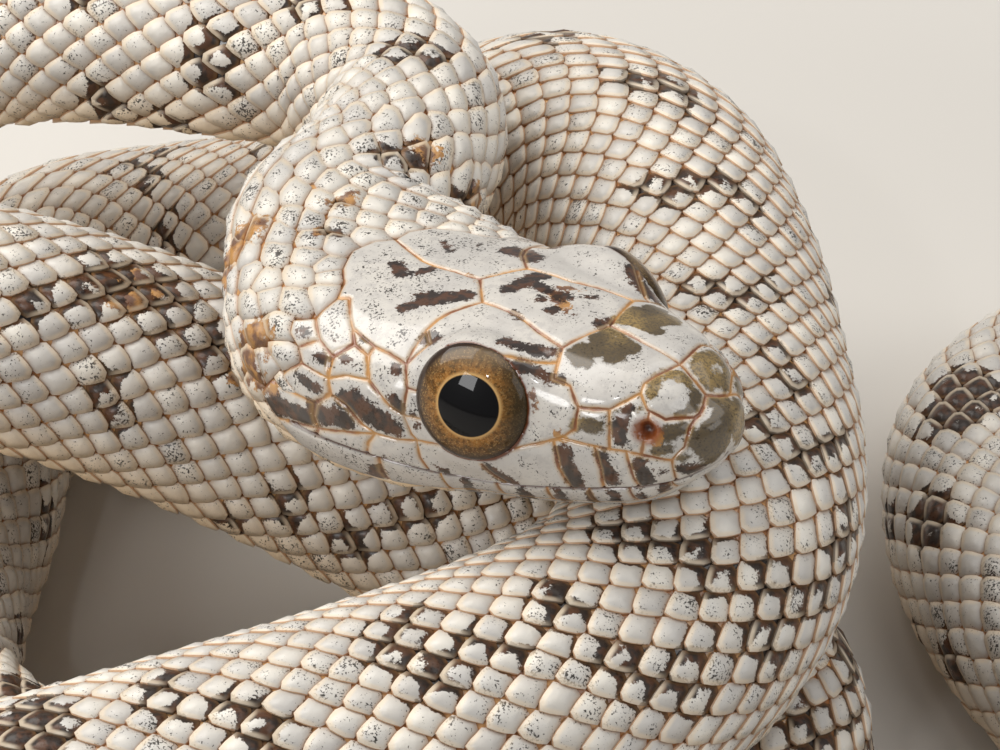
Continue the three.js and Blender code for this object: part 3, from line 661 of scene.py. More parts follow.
# The sleeve behind the neck shows only between the scales, so it has larger faces.
body_rows = np.concatenate([np.arange(HEAD_SKIN_END, LENGTH - 1, 0.9), [LENGTH - 0.5, LENGTH]])
sleeve = bmesh.ops.create_grid(skin, x_segments=36, y_segments=len(body_rows) - 1, size=1)["verts"]
row_of = np.linspace(-1, 1, len(body_rows))
sleeve_share = np.array([vert.co.x for vert in sleeve])
sleeve_distance = np.interp([vert.co.y for vert in sleeve], row_of, body_rows)
for face in {face for vert in sleeve for face in vert.link_faces}:
    face.smooth = True
    for loop in face.loops:
        reach = np.interp(loop.vert.co.y, row_of, body_rows) / LENGTH
        loop[bake_map].uv = (0.02 + 0.48 * (loop.vert.co.x + 1), 0.86 + 0.13 * reach)
sleeve_points = place_on_snake(sleeve_distance, sleeve_share, np.full(len(sleeve), -SLEEVE_DEPTH))
sleeve_dark = mark_depth(body_blotches, sleeve_distance, sleeve_share)
for vert, point, distance, share, dark in zip(
        sleeve, sleeve_points, sleeve_distance, sleeve_share, sleeve_dark):
    vert.co = point
    vert[layers["seam"]] = vert[layers["mouth"]] = vert[layers["eye"]] = vert[layers["nostril"]] = 1
    vert[layers["nape"]] = distance - 12
    vert[layers["round"]] = abs(share)
    vert[layers["dark"]] = dark
    vert[layers["olive"]] = vert[layers["rust"]] = -1
bmesh.ops.remove_doubles(skin, verts=skin.verts, dist=2e-6)
ends = [edge for edge in skin.edges if edge.is_boundary]
neck_middle = FOOTPRINT_SHIFT + centre[np.searchsorted(stations, HEAD_SKIN_END)]
NECK_ROOM = 6  # open edges as near as this are the neck's, and not the tail's
neck_joint = [edge for edge in ends
              if np.linalg.norm(np.array(edge.verts[0].co) / MM - neck_middle) < NECK_ROOM]
bmesh.ops.bridge_loops(skin, edges=neck_joint)
bmesh.ops.holes_fill(skin, edges=[edge for edge in skin.edges if edge.is_boundary], sides=60)
bmesh.ops.recalc_face_normals(skin, faces=skin.faces)


def finished_piece(name, made, *materials):
    """A piece of the object from its finished mesh, standing where its points say."""
    if isinstance(made, bmesh.types.BMesh):
        mesh = bpy.data.meshes.new(name)
        made.to_mesh(mesh)
        made.free()
    else:
        mesh = made
    piece = bpy.data.objects.new(name, mesh)
    bpy.context.scene.collection.objects.link(piece)
    for material in materials:
        mesh.materials.append(material)
    return piece


def tone(red, green, blue):
    """A colour given in steps of 0 to 255, as the eye sees it."""
    steps = np.array([red, green, blue]) / 255
    return (*np.where(steps < 0.04045, steps / 12.92, ((steps + 0.055) / 1.055) ** 2.4), 1)


def new_material(name):
    material = bpy.data.materials.new(name)
    material.use_nodes = True
    nodes = material.node_tree.nodes
    return material, nodes, material.node_tree.links, nodes["Principled BSDF"]


def read_value(nodes, name, output="Fac"):
    node = nodes.new("ShaderNodeAttribute")
    node.attribute_name = name
    return node.outputs[output]


def reckon(kind, *values):
    """A Math node: each value is a number or the output of another node, in whose tree it is made."""
    tree = next(value.id_data for value in values if not isinstance(value, (int, float)))
    node = tree.nodes.new("ShaderNodeMath")
    node.operation = kind
    for socket, value in zip(node.inputs, values):
        if isinstance(value, (int, float)):
            socket.default_value = value
        else:
            tree.links.new(value, socket)
    return node.outputs[0]


def plus(first, second):
    return reckon("ADD", first, second)


def minus(first, second):
    return reckon("SUBTRACT", first, second)


def times(first, second):
    return reckon("MULTIPLY", first, second)


def fade(value, low, high):
    """0 below low and 1 over high, with a soft step between. Low may be the higher one."""
    tree = value.id_data
    node = tree.nodes.new("ShaderNodeMapRange")
    node.interpolation_type = "SMOOTHSTEP"
    turned = low > high
    tree.links.new(value, node.inputs["Value"])
    node.inputs["From Min"].default_value = min(low, high)
    node.inputs["From Max"].default_value = max(low, high)
    node.inputs["To Min"].default_value = 1 if turned else 0
    node.inputs["To Max"].default_value = 0 if turned else 1
    return node.outputs["Result"]


def blend(share, first, second):
    """The first colour where the share is 0 and the second where it is 1."""
    tree = share.id_data
    node = tree.nodes.new("ShaderNodeMix")
    node.data_type = "RGBA"
    for name, value in (("Factor", share), ("A", first), ("B", second)):
        if isinstance(value, tuple):
            node.inputs[name].default_value = value
        else:
            tree.links.new(value, node.inputs[name])
    return node.outputs["Result"]


def grain(place, size, detail=2.0, roughness=0.5):
    """Cloudy noise with lumps of about this many millimetres."""
    tree = place.id_data
    node = tree.nodes.new("ShaderNodeTexNoise")
    tree.links.new(place, node.inputs["Vector"])
    node.inputs["Scale"].default_value = 1000 / size
    node.inputs["Detail"].default_value = detail
    node.inputs["Roughness"].default_value = roughness
    return node.outputs["Fac"]


# Pigment of the snake, shared by the shields and the scales: pale grey ground with fine dark flecks,
# ragged dark brown, olive and rust marks, and cream tan low on the flanks.
pigment = bpy.data.node_groups.new("snake pigment", "ShaderNodeTree")
for socket_name in ("Dark", "Olive", "Rust", "Flecks", "Flank", "Tone"):
    pigment.interface.new_socket(socket_name, in_out="INPUT", socket_type="NodeSocketFloat")
pigment.interface.new_socket("Place", in_out="INPUT", socket_type="NodeSocketVector")
pigment.interface.new_socket("Color", in_out="OUTPUT", socket_type="NodeSocketColor")
pigment.interface.new_socket("Dark mask", in_out="OUTPUT", socket_type="NodeSocketFloat")
taken = pigment.nodes.new("NodeGroupInput").outputs
given = pigment.nodes.new("NodeGroupOutput").inputs
clouds = grain(taken["Place"], 1.6, 3)
ragged = plus(minus(grain(taken["Place"], 0.16, 4, 0.7), 0.5),
              minus(grain(taken["Place"], 0.55, 2, 0.5), 0.5))
fine = grain(taken["Place"], 0.065, 3, 0.6)
ground = blend(fade(clouds, 0.35, 0.65), tone(198, 194, 188), tone(224, 218, 207))
ground = blend(taken["Tone"], ground, tone(186, 181, 175))
ground = blend(fade(taken["Flank"], 0.44, 0.72), ground, tone(218, 194, 160))
fleck_edge = minus(0.70, times(taken["Flecks"], 0.12))
fleck_edge = plus(fleck_edge, times(minus(grain(taken["Place"], 0.5, 3, 0.6), 0.5), -0.5))
flecks = fade(minus(fine, fleck_edge), -0.015, 0.03)
ground = blend(times(flecks, 0.92), ground, tone(36, 29, 24))
olive_depth = plus(taken["Olive"], times(ragged, 0.34))
olive_tone = blend(fade(clouds, 0.4, 0.62), tone(74, 56, 16), tone(142, 115, 58))
olive_tone = blend(times(fade(fine, 0.44, 0.62), 0.7), olive_tone, tone(50, 38, 16))
ground = blend(times(fade(olive_depth, -0.03, 0.07), 0.93), ground, olive_tone)
rust_depth = plus(taken["Rust"], times(ragged, 0.5))
rust_tone = blend(fade(grain(taken["Place"], 0.4, 3), 0.4, 0.6), tone(98, 54, 22), tone(178, 126, 58))
ground = blend(times(fade(rust_depth, 0.0, 0.07), 0.9), ground, rust_tone)
dark_depth = plus(taken["Dark"], times(ragged, 0.4))
dark_depth = plus(dark_depth, times(minus(fine, 0.5), 0.3))
dark_mask = fade(dark_depth, -0.06, 0.01)
dark_tone = blend(fade(grain(taken["Place"], 0.3, 2), 0.42, 0.62), tone(32, 15, 5), tone(76, 41, 14))
pigment.links.new(blend(times(dark_mask, 0.96), ground, dark_tone), given["Color"])
pigment.links.new(dark_mask, given["Dark mask"])


def object_place(nodes):
    return nodes.new("ShaderNodeTexCoord").outputs["Object"]


def use_pigment(nodes, **values):
    node = nodes.new("ShaderNodeGroup")
    node.node_tree = pigment
    for name, value in values.items():
        if isinstance(value, (int, float)):
            node.inputs[name].default_value = value
        else:
            value.id_data.links.new(value, node.inputs[name])
    return node.outputs


def set_sockets(node, **values):
    """Sets the sockets of a node, named with underscores for their blanks."""
    for name, value in values.items():
        node.inputs[name.replace("_", " ")].default_value = value


def fine_relief(surface, place, size, strength):
    """A very shallow, fine roughness of the horn, over the shapes that the mesh has."""
    tree = place.id_data
    bump = tree.nodes.new("ShaderNodeBump")
    set_sockets(bump, Strength=strength, Distance=0.03 * MM)
    tree.links.new(grain(place, size, 4, 0.65), bump.inputs["Height"])
    tree.links.new(bump.outputs["Normal"], surface.inputs["Normal"])


skin_finish, nodes, links, surface = new_material("snake skin")
place = object_place(nodes)
seam_value, nape_value = read_value(nodes, "seam"), read_value(nodes, "nape")
smudges = fade(grain(place, 0.34, 5, 0.72), 0.46, 0.7)
head_tone = plus(0.55, times(smudges, 0.75))
temple = times(fade(nape_value, -3.4, -2.4), fade(seam_value, 0.1, 0.32))
head_flecks = plus(0.45, times(temple, 0.4))
pigmented = use_pigment(nodes, Dark=read_value(nodes, "dark"), Olive=read_value(nodes, "olive"),
                        Rust=read_value(nodes, "rust"), Flecks=head_flecks,
                        Flank=read_value(nodes, "round"), Tone=head_tone, Place=place)
ragged_seam = plus(seam_value, times(minus(grain(place, 0.25, 3), 0.5), 0.06))
ragged_seam = plus(ragged_seam, times(minus(grain(place, 1.1, 2), 0.5), 0.08))
colour = blend(times(fade(ragged_seam, 0.13, 0.03), 0.45), pigmented["Color"], tone(196, 158, 104))
seam_tone = blend(fade(grain(place, 0.9, 2), 0.38, 0.6), tone(126, 64, 22), tone(190, 136, 70))
seam_tone = blend(times(pigmented["Dark mask"], 0.8), seam_tone, tone(70, 36, 16))
colour = blend(times(fade(ragged_seam, 0.055, 0.015), 0.9), colour, seam_tone)
colour = blend(fade(read_value(nodes, "mouth"), 0.1, 0.03), colour, tone(88, 52, 34))
colour = blend(fade(read_value(nodes, "eye"), 0.12, 0.05), colour, tone(98, 50, 20))
# Painted shade: the skin turns near black in the crease where it meets the eye's rim and runs in under the
# eye.
painted_shade_at_eye_rim = fade(read_value(nodes, "eye"), 0.03, -0.04)
colour = blend(painted_shade_at_eye_rim, colour, tone(24, 16, 12))
colour = blend(fade(read_value(nodes, "nostril"), 0.5, 0.2), colour, tone(134, 72, 36))
colour = blend(fade(read_value(nodes, "nostril"), 0.2, 0.06), colour, tone(64, 28, 14))
between = blend(fade(grain(place, 0.5, 3), 0.4, 0.62), tone(150, 98, 52), tone(206, 160, 106))
between = blend(fade(read_value(nodes, "dark"), -0.15, 0.02), between, tone(34, 24, 18))
colour = blend(fade(nape_value, 0.0, 0.08), colour, between)
links.new(colour, surface.inputs["Base Color"])
set_sockets(surface, Roughness=0.42, Specular_IOR_Level=0.22, Coat_Weight=0.8, Coat_IOR=1.55,
            Coat_Roughness=0.13)
fine_relief(surface, place, 0.12, 0.35)

skin_piece = finished_piece("skin", skin, skin_finish)
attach(skin_piece, "root")
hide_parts("head", "lower_jaw", "neck", *[f"body_{i:02d}" for i in range(1, 14)],
            *[f"tail_{i:02d}" for i in range(1, 4)])

# ---- scales of the neck, back and flanks -------------------------------------------------------
# Thin horny plates set in slanting rows, each one loose at its hind tip, where it overlaps the next.
# On the neck they are rounded and lie side by side; in a bend the skin shows between them.

SCALE_LENGTH = 1.17
ROW_STEP = 0.40  # step between rows, as a share of the scale's length
FIRST_BELLY_SHIELD = 15.0
SCALE_ROOT_DEPTH = 0.26  # the walls of scales and shields reach this far into the skin
NAPE_GAP, NAPE_CLEARANCE = 0.12, 0.03  # from the head shields to a scale's middle, and to its edge
COATS = 7  # the scales are joined into this many pieces
PATCH = 0.003  # size of one scale's patch in the bake map
BAND_WIDTH = 26  # millimetres round the body for which a band of the bake map has room

disc = bmesh.new()
bmesh.ops.create_circle(disc, cap_ends=True, segments=14, radius=1)
top = list(disc.faces)
for share in (0.06, 0.10, 0.30):
    bmesh.ops.inset_region(disc, faces=top, thickness=share, use_even_offset=True)
bmesh.ops.poke(disc, faces=top)
wall = [edge for edge in disc.edges if edge.is_boundary]
lowered = bmesh.ops.extrude_edge_only(disc, edges=wall)["geom"]
for vert in [item for item in lowered if isinstance(item, bmesh.types.BMVert)]:
    vert.co = (vert.co.x, vert.co.y, -1)
bmesh.ops.holes_fill(disc, edges=[edge for edge in disc.edges if edge.is_boundary], sides=20)
bmesh.ops.recalc_face_normals(disc, faces=disc.faces)
disc.verts.index_update()
disc_points = np.array([vert.co for vert in disc.verts])
disc_faces = [[vert.index for vert in face.verts] for face in disc.faces]
disc.free()


def many_from_one(name, points, faces, values, bake_places, material):
    """Joins copies of one small shape, given the placed points of every copy."""
    copies, corners = points.shape[:2]
    mesh = bpy.data.meshes.new(name)
    loops = np.concatenate([np.array(face) for face in faces])
    sizes = np.array([len(face) for face in faces])
    starts = np.concatenate([[0], np.cumsum(sizes)[:-1]])
    shift = np.arange(copies)[:, None]
    mesh.vertices.add(copies * corners)
    mesh.vertices.foreach_set("co", points.astype(np.float32).ravel())
    mesh.loops.add(copies * len(loops))
    all_loops = (loops[None] + shift * corners).ravel()
    mesh.loops.foreach_set("vertex_index", all_loops.astype(np.int32))
    mesh.polygons.add(copies * len(faces))
    mesh.polygons.foreach_set("loop_start", (starts[None] + shift * len(loops)).astype(np.int32).ravel())
    mesh.polygons.foreach_set("loop_total", np.tile(sizes, copies).astype(np.int32))
    mesh.update(calc_edges=True)
    mesh.polygons.foreach_set("use_smooth", np.ones(copies * len(faces), bool))
    for key, value in values.items():
        layer = mesh.attributes.new(key, "FLOAT", "POINT")
        layer.data.foreach_set("value", np.broadcast_to(value, (copies,
                                                                corners)).astype(np.float32).ravel())
    bake = mesh.uv_layers.new(name="OFBake")
    bake.data.foreach_set("uv", bake_places.reshape(-1, 2)[all_loops].astype(np.float32).ravel())
    mesh.validate()
    return finished_piece(name, mesh, material)


scale_finish, nodes, links, surface = new_material("snake scales")
place = object_place(nodes)
edge_value, hind_value = read_value(nodes, "edge"), read_value(nodes, "hind")
neck_value = read_value(nodes, "neck")
edge_dark = times(minus(edge_value, 0.62), 0.5)
edge_dark = minus(edge_dark, times(hind_value, 0.28))
edge_dark = times(edge_dark, minus(1.0, neck_value))
dark_value = plus(read_value(nodes, "dark"), edge_dark)
centre_flecks = times(fade(edge_value, 0.75, 0.2), neck_value)
fleck_amount = plus(times(centre_flecks, 0.7), read_value(nodes, "fleck"))
pigmented = use_pigment(nodes, Dark=dark_value, Olive=read_value(nodes, "olive"),
                        Rust=read_value(nodes, "rust"), Flecks=fleck_amount,
                        Flank=read_value(nodes, "round"), Tone=read_value(nodes, "tone"), Place=place)
rim_pale = times(fade(edge_value, 0.58, 0.86), fade(hind_value, -0.3, 0.6))
colour = blend(times(rim_pale, 0.7), pigmented["Color"], tone(234, 216, 190))
front_shade = times(fade(edge_value, 0.7, 0.95), fade(hind_value, 0.3, -0.5))
colour = blend(times(front_shade, 0.3), colour, tone(178, 136, 90))
edge_line = times(fade(edge_value, 0.975, 1.0), minus(0.65, times(neck_value, 0.35)))
colour = blend(edge_line, colour, blend(pigmented["Dark mask"], tone(170, 112, 54), tone(58, 34, 16)))
links.new(colour, surface.inputs["Base Color"])
set_sockets(surface, Roughness=0.36, Specular_IOR_Level=0.22, Coat_Weight=0.2, Coat_Roughness=0.22)
fine_relief(surface, place, 0.09, 0.4)

# Count the scale places along the spine, shorter on the thin end of the tail.
COUNT_STEP = 0.1
count_at = np.arange(6, LENGTH, COUNT_STEP)
scale_size = SCALE_LENGTH * np.clip(np.where(count_at < 30, 2.4, along(HALF_WIDTH, count_at)) / 2.3, 0.3,
                                    1) ** 0.85
scale_count = np.concatenate([[0], np.cumsum(COUNT_STEP / scale_size[:-1])])
total = int(scale_count[-1])
rows = np.arange(-22, 23)
numbers = np.arange(total)[None] + 0.5 * (rows[:, None] % 2)
dice = np.random.default_rng(8)
grid_distance = np.interp(numbers, scale_count, count_at)
local_size = np.interp(grid_distance, count_at, scale_size)
wobble = np.where(grid_distance < 19, 0.075, 0.02) * local_size
grid_distance = grid_distance + dice.normal(0, 1, grid_distance.shape) * wobble
grid_arc = rows[:, None] * ROW_STEP * local_size + dice.normal(0, 1, grid_distance.shape) * wobble
half_here = half_way_round(grid_distance)
belly_half = 0.9 * along(HALF_WIDTH, grid_distance) * ramp(grid_distance, FIRST_BELLY_SHIELD - 2.5,
                                                           FIRST_BELLY_SHIELD)
room = half_here - belly_half + 0.12 * local_size
keep = (np.abs(grid_arc) < room) & (behind_the_nape(grid_distance, grid_arc / half_here) > NAPE_GAP)
keep &= grid_distance < LENGTH - 0.5

# Every scale reaches half way to its neighbours, with rounded corners.
turns = np.arctan2(disc_points[:, 1], disc_points[:, 0])
reach_out = np.hypot(disc_points[:, 0], disc_points[:, 1])
reach_out = reach_out / reach_out.max()
row_index, number_index = np.nonzero(keep)
here_distance, here_arc = grid_distance[keep], grid_arc[keep]
here_size, here_half = local_size[keep], half_here[keep]
here_stretch = read_sheet(stretch, here_distance, here_arc / here_half)
squeeze = 0.86
nearness = np.zeros((len(here_distance), len(turns)))
on_neck = (1 - ramp(here_distance, 14.5, 20))[:, None]
sharpness = 16 - 2 * on_neck
odd = (rows[row_index] % 2).astype(int)
for row_step, number_step in ((0, 1), (0, -1), (2, 0), (-2, 0), (1, 0), (1, -1), (-1, 0), (-1, -1)):
    step = number_step + (odd if row_step % 2 else 0)
    r = np.clip(row_index + row_step, 0, len(rows) - 1)
    n = np.clip(number_index + step, 0, total - 1)
    du = (grid_distance[r, n] - here_distance) * squeeze
    dv = grid_arc[r, n] - here_arc
    far = (du**2 + dv**2) / 2
    facing = np.cos(turns)[None] * squeeze * du[:, None] + np.sin(turns)[None] * dv[:, None]
    gone = behind_the_nape(grid_distance[r, n], grid_arc[r, n] / half_here[r, n]) <= NAPE_GAP
    limit = np.where(gone, 3.0, 1.0)[:, None] * far[:, None] / np.maximum(facing, 1e-4)
    limit = np.where(far[:, None] < 1e-6, 1e4, limit)
    nearness += (1 / np.maximum(limit, 0.02)) ** sharpness
reach = nearness ** (-1 / sharpness)
reach = np.minimum(reach, 0.95 * here_size[:, None])
hind = np.cos(turns)[None]
overlap = 1.03 + 0.02 * on_neck + (1 - on_neck) * 0.1 * ramp(hind, 0.2, 0.9)
reach = reach * overlap - 0.008 * here_size[:, None]
# Those next to the head shields stop at the shields' edge.
for _ in range(28):
    u, v = reach * np.cos(turns), reach * np.sin(turns)
    at_the_edge = here_distance[:, None] + u, (here_arc[:, None] + v) / here_half[:, None]
    clear = behind_the_nape(*at_the_edge) > NAPE_CLEARANCE
    reach = np.where(clear, reach, reach * 0.95)
slack = here_stretch[:, None] ** (np.where(here_stretch[:, None] > 1, -0.15, 0.0) * (1 - on_neck))
u = reach * reach_out[None] * np.cos(turns)[None] * slack
v = reach * reach_out[None] * np.sin(turns)[None]
point_distance = np.clip(here_distance[:, None] + u, 0.2, LENGTH)
point_share = (here_arc[:, None] + v) / here_half[:, None]
edge = np.broadcast_to(reach_out[None], u.shape)
is_wall = disc_points[None, :, 2] < -0.5
dome = (0.05 + 0.01 * on_neck) * here_size[:, None] * (1 - edge**2.6)
tilt = 0.035 * here_size[:, None] * (1 - on_neck) * np.cos(turns)[None] * edge
scale_lift = -0.07 * here_size[:, None] + dome + tilt
scale_lift -= 0.03 * ramp(edge, 0.9, 1.0)
scale_lift = np.where(is_wall, -SCALE_ROOT_DEPTH, np.minimum(scale_lift, 0.03))
scale_points = place_on_snake(point_distance, point_share, scale_lift)

scale_dark = dark_at(point_distance, point_share)
scale_olive = olive_at(point_distance, point_share)
scale_rust = rust_at(point_distance, point_share)
scale_tone = np.clip(dice.normal(0.22, 0.22, (len(here_distance), 1)), 0, 0.8) * (1 - 0.5 * on_neck)
scale_fleck = np.clip(dice.normal(0.45, 0.35, (len(here_distance), 1)), 0, 1.3)
order = np.argsort(here_distance)
for part, members in enumerate(np.array_split(order, COATS)):
    first, last = here_distance[members].min(), here_distance[members].max()
    span = (last - first) / 2 + 0.01
    band = np.floor((here_distance[members] - first) / span)
    root = np.stack([0.02 + 0.96 * (here_distance[members] - first - band * span) / span,
                     0.02 + 0.96 * (band + 0.5 + here_arc[members] / BAND_WIDTH) / 2], 1)
    patch = np.stack([u[members], v[members]], 2) / (2 * here_size[members, None, None]) * PATCH
    coat = many_from_one(f"scales_{part + 1}", scale_points[members], disc_faces,
                         {"edge": edge[members],
                          "hind": np.broadcast_to(np.cos(turns)[None] * reach_out[None], u.shape)[members],
                          "neck": on_neck[members], "dark": scale_dark[members],
                          "olive": scale_olive[members], "rust": scale_rust[members],
                          "tone": scale_tone[members], "fleck": scale_fleck[members],
                          "round": np.abs(point_share[members])}, root[:, None] + patch, scale_finish)
    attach(coat, "root")

# ---- belly shields -----------------------------------------------------------------------------
# One broad plate for each scale along a row, right across the belly, smooth and cream coloured. Each
# one overlaps the next like a roof tile, and the hind edge is loose. They are single to the tail tip.

strip = bmesh.new()
bmesh.ops.create_grid(strip, x_segments=18, y_segments=3, size=1)
strip_wall = bmesh.ops.extrude_edge_only(strip,
                                         edges=[edge for edge in strip.edges if edge.is_boundary])["geom"]
for vert in [item for item in strip_wall if isinstance(item, bmesh.types.BMVert)]:
    vert.co.z = -1
bmesh.ops.holes_fill(strip, edges=[edge for edge in strip.edges if edge.is_boundary], sides=60)
bmesh.ops.recalc_face_normals(strip, faces=strip.faces)
strip.verts.index_update()
strip_points = np.array([vert.co for vert in strip.verts])
strip_faces = [[vert.index for vert in face.verts] for face in strip.faces]
strip.free()

belly_numbers = np.arange(total) + 0.25
belly_at = np.interp(belly_numbers, scale_count, count_at)
belly_size = np.interp(belly_at, count_at, scale_size)
chosen = (belly_at > FIRST_BELLY_SHIELD - 1.5) & (belly_at < LENGTH - 0.8)
belly_at, belly_size = belly_at[chosen], belly_size[chosen]
across, lengthwise = strip_points[:, 0], strip_points[:, 1]
shield_half = 0.93 * along(HALF_WIDTH, belly_at) * ramp(belly_at, FIRST_BELLY_SHIELD - 4,
                                                        FIRST_BELLY_SHIELD)
shield_distance = belly_at[:, None] + belly_size[:, None] * (0.6 * lengthwise + 0.08)[None]
side_fall = np.abs(across) ** 6
shield_distance = shield_distance + belly_size[:, None] * 0.22 * (side_fall * -np.sign(lengthwise))[None]
shield_share = 1 - across[None] * shield_half[:, None] / half_way_round(belly_at)[:, None]
shield_lift = -0.12 + 0.05 * lengthwise[None] * belly_size[:, None] - 0.05 * side_fall[None]
shield_lift = np.where(strip_points[None, :, 2] < -0.5, -SCALE_ROOT_DEPTH, shield_lift)
shield_points = place_on_snake(np.clip(shield_distance, 0.2, LENGTH), shield_share, shield_lift)
BELLY_BANDS = 8  # rows of patches in the bake map
span = (belly_at.max() - belly_at.min()) / BELLY_BANDS + 0.01
band = np.floor((belly_at - belly_at.min()) / span)
root = np.stack([0.02 + 0.96 * (belly_at - belly_at.min() - band * span) / span,
                 (band + 0.5) / BELLY_BANDS], 1)
folded_share = np.abs((shield_share + 1) % 2 - 1)
belly_values = {"edge": np.maximum(np.abs(lengthwise), side_fall)[None], "hind": lengthwise[None],
                "neck": np.zeros((len(belly_at), 1)), "dark": dark_at(shield_distance,
                                                                      folded_share) - 0.25, "olive": -1,
                "rust": -1, "tone": np.clip(dice.normal(0.15, 0.15, (len(belly_at), 1)), 0, 0.5),
                "fleck": np.full((len(belly_at), 1), 0.1), "round": folded_share}
belly = many_from_one("belly_shields", shield_points, strip_faces, belly_values,
                      root[:, None] + strip_points[None, :, :2] * PATCH / 2, scale_finish)
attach(belly, "root")

# ---- eyes --------------------------------------------------------------------------------------
# A snake has no eyelids: one clear scale covers each eye, with the golden brown iris and the round
# black pupil close behind it. The eye bulges a little out of its ring of shields.

EYE_RADIUS = 1.49
EYE_BULGE, EYE_DEPTH = 0.72, 1.15
PUPIL = 0.79
GAZE_AHEAD, GAZE_UP = 0.13, 0.06  # it looks a little forward
eye_finish, nodes, links, surface = new_material("snake eye")
gaze = read_value(nodes, "gaze", "Vector")
split = nodes.new("ShaderNodeSeparateXYZ")
links.new(gaze, split.inputs[0])
away = reckon("SQRT", plus(reckon("POWER", split.outputs["X"], 2.0),
                           reckon("POWER", split.outputs["Y"], 2.0)))
turn = reckon("ARCTAN2", split.outputs["Y"], split.outputs["X"])
ray_place = nodes.new("ShaderNodeCombineXYZ")
links.new(times(reckon("COSINE", turn), 3.0), ray_place.inputs["X"])
links.new(times(reckon("SINE", turn), 3.0), ray_place.inputs["Y"])
links.new(times(away, 1.6), ray_place.inputs["Z"])
rays = grain(ray_place.outputs[0], 240, 4, 0.7)
mottle = grain(gaze, 170, 4, 0.75)
fine_mottle = grain(gaze, 60, 3, 0.7)
iris = blend(fade(plus(away, times(mottle, 0.5)), 1.05, 1.62), tone(150, 102, 48), tone(80, 60, 38))
iris = blend(times(fade(rays, 0.46, 0.6), 0.75), iris, tone(70, 44, 18))
iris = blend(times(fade(fine_mottle, 0.5, 0.66), 0.6), iris, tone(180, 144, 90))
iris = blend(times(fade(mottle, 0.5, 0.62), 0.6), iris, tone(70, 54, 32))
# Painted reflection: the top of the iris is blended to pale grey, standing for the light above mirrored in
# the clear scale.
painted_reflection_top = times(fade(split.outputs["Y"], 0.7, 1.35), 0.45)
iris = blend(painted_reflection_top, iris, tone(146, 130, 108))
front = times(fade(split.outputs["X"], 0.5, 1.25), 0.8)
iris = blend(front, iris, tone(50, 42, 24))
iris = blend(fade(away, 0.9, PUPIL), iris, tone(196, 156, 100))
iris = blend(fade(away, 1.3, 1.42), iris, tone(46, 32, 22))
iris = blend(fade(away, PUPIL + 0.015, PUPIL - 0.02), iris, tone(9, 8, 9))
links.new(iris, surface.inputs["Base Color"])
set_sockets(surface, Roughness=0.45, Specular_IOR_Level=0.05, Coat_Weight=1.0, Coat_IOR=1.3,
            Coat_Roughness=0.03)

for eye_name, side in (("right_eye", -1), ("left_eye", 1)):
    ball = bmesh.new()
    bmesh.ops.create_uvsphere(ball, u_segments=72, v_segments=44, radius=1)
    gaze_layer = ball.verts.layers.float_vector.new("gaze")
    look = EYE_LOOK[0] * HEAD_FORWARD + EYE_LOOK[1] * side * head_left + EYE_LOOK[2] * HEAD_UP
    rise = HEAD_UP - (HEAD_UP @ look) * look
    rise /= np.linalg.norm(rise)
    ahead = np.cross(rise, look) * -side
    middle = HEAD_AXIS_FRONT + EYE_PLACE * (1, side, 1) @ np.array([HEAD_FORWARD, head_left, HEAD_UP])
    for vert in ball.verts:
        x, y, z = vert.co
        vert[gaze_layer] = (x * EYE_RADIUS - GAZE_AHEAD, y * EYE_RADIUS - GAZE_UP, z)
        out = z * (EYE_BULGE if z > 0 else EYE_DEPTH)
        point = middle + x * EYE_RADIUS * ahead + y * EYE_RADIUS * rise + out * look
        vert.co = (point + FOOTPRINT_SHIFT) * MM
    for face in ball.faces:
        face.smooth = True
    bmesh.ops.recalc_face_normals(ball, faces=ball.faces)
    eye = finished_piece(eye_name, ball, eye_finish)
    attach(eye, "root")
    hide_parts("eye_right" if side < 0 else "eye_left")

# ---- floor, light and camera -------------------------------------------------------------------
# A pale matt floor that runs out of sight, soft studio panels, and a long lens.

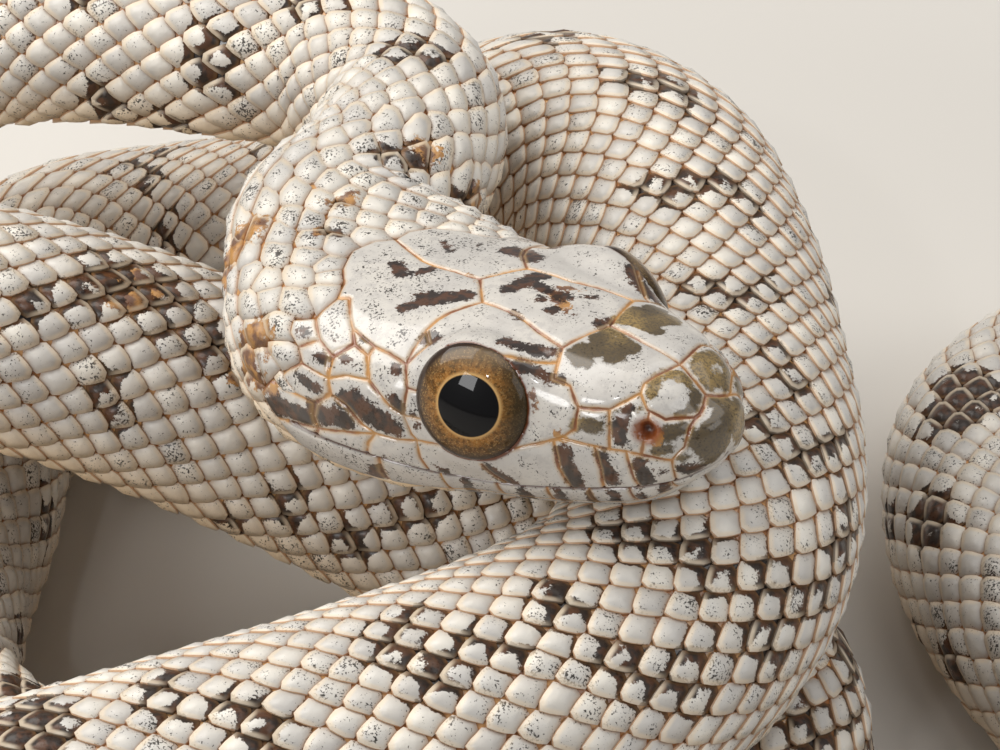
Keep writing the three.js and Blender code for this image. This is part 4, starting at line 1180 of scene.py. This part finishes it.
floor = bmesh.new()
bmesh.ops.create_circle(floor, cap_ends=True, segments=96, radius=2.5)
floor_finish, nodes, links, surface = new_material("studio floor")
set_sockets(surface, Base_Color=tone(206, 202, 196), Roughness=0.85, Specular_IOR_Level=0.2)
finished_piece("studio_floor", floor, floor_finish)


def softbox(name, way, reach, size, watts, colour=(1, 1, 1)):
    """A square light panel that faces the snake from a direction, at a distance in metres."""
    light = bpy.data.lights.new(name, "AREA")
    light.size = size
    light.energy = watts
    light.color = colour
    panel = bpy.data.objects.new(name, light)
    bpy.context.scene.collection.objects.link(panel)
    way = Vector(way).normalized()
    panel.location = Vector((0, 0, 0.012)) + way * reach
    panel.rotation_euler = way.to_track_quat("Z", "Y").to_euler()


softbox("window_panel", (-0.62, -0.64, 0.48), 0.35, 0.1, 0.35)
softbox("key_spot", (-0.24, -0.66, 0.71), 0.35, 0.018, 0.07)
softbox("top_panel", (-0.6, 0.34, 0.76), 0.17, 0.15, 0.33, (1.0, 0.97, 0.92))
softbox("fill_panel", (0.5, 0.3, 1.0), 0.5, 0.4, 0.75, (1.0, 0.98, 0.95))
softbox("side_panel", (1.0, -0.35, 0.55), 0.5, 0.3, 0.52)
world = bpy.data.worlds.new("studio")
world.use_nodes = True
set_sockets(world.node_tree.nodes["Background"], Color=(0.86, 0.88, 0.92, 1), Strength=0.25)
bpy.context.scene.world = world
bpy.context.scene.view_settings.view_transform = "Standard"

CAMERA_AIM = np.array([0, 0, 11.5]) + FOOTPRINT_SHIFT
CAMERA_RISE = math.radians(40)
CAMERA_REACH = 180
PIXELS_PER_MM = 38.6
lens = bpy.data.cameras.new("camera")
lens.sensor_width = 36
lens.lens = 36 * PIXELS_PER_MM * CAMERA_REACH / 1000
lens.clip_start = 0.01
lens.clip_end = 20
camera = bpy.data.objects.new("camera", lens)
bpy.context.scene.collection.objects.link(camera)
camera_way = Vector((0, -math.cos(CAMERA_RISE), math.sin(CAMERA_RISE)))
camera.location = Vector(CAMERA_AIM * MM) + camera_way * CAMERA_REACH * MM
camera.rotation_euler = camera_way.to_track_quat("Z", "Y").to_euler()
bpy.context.scene.camera = camera
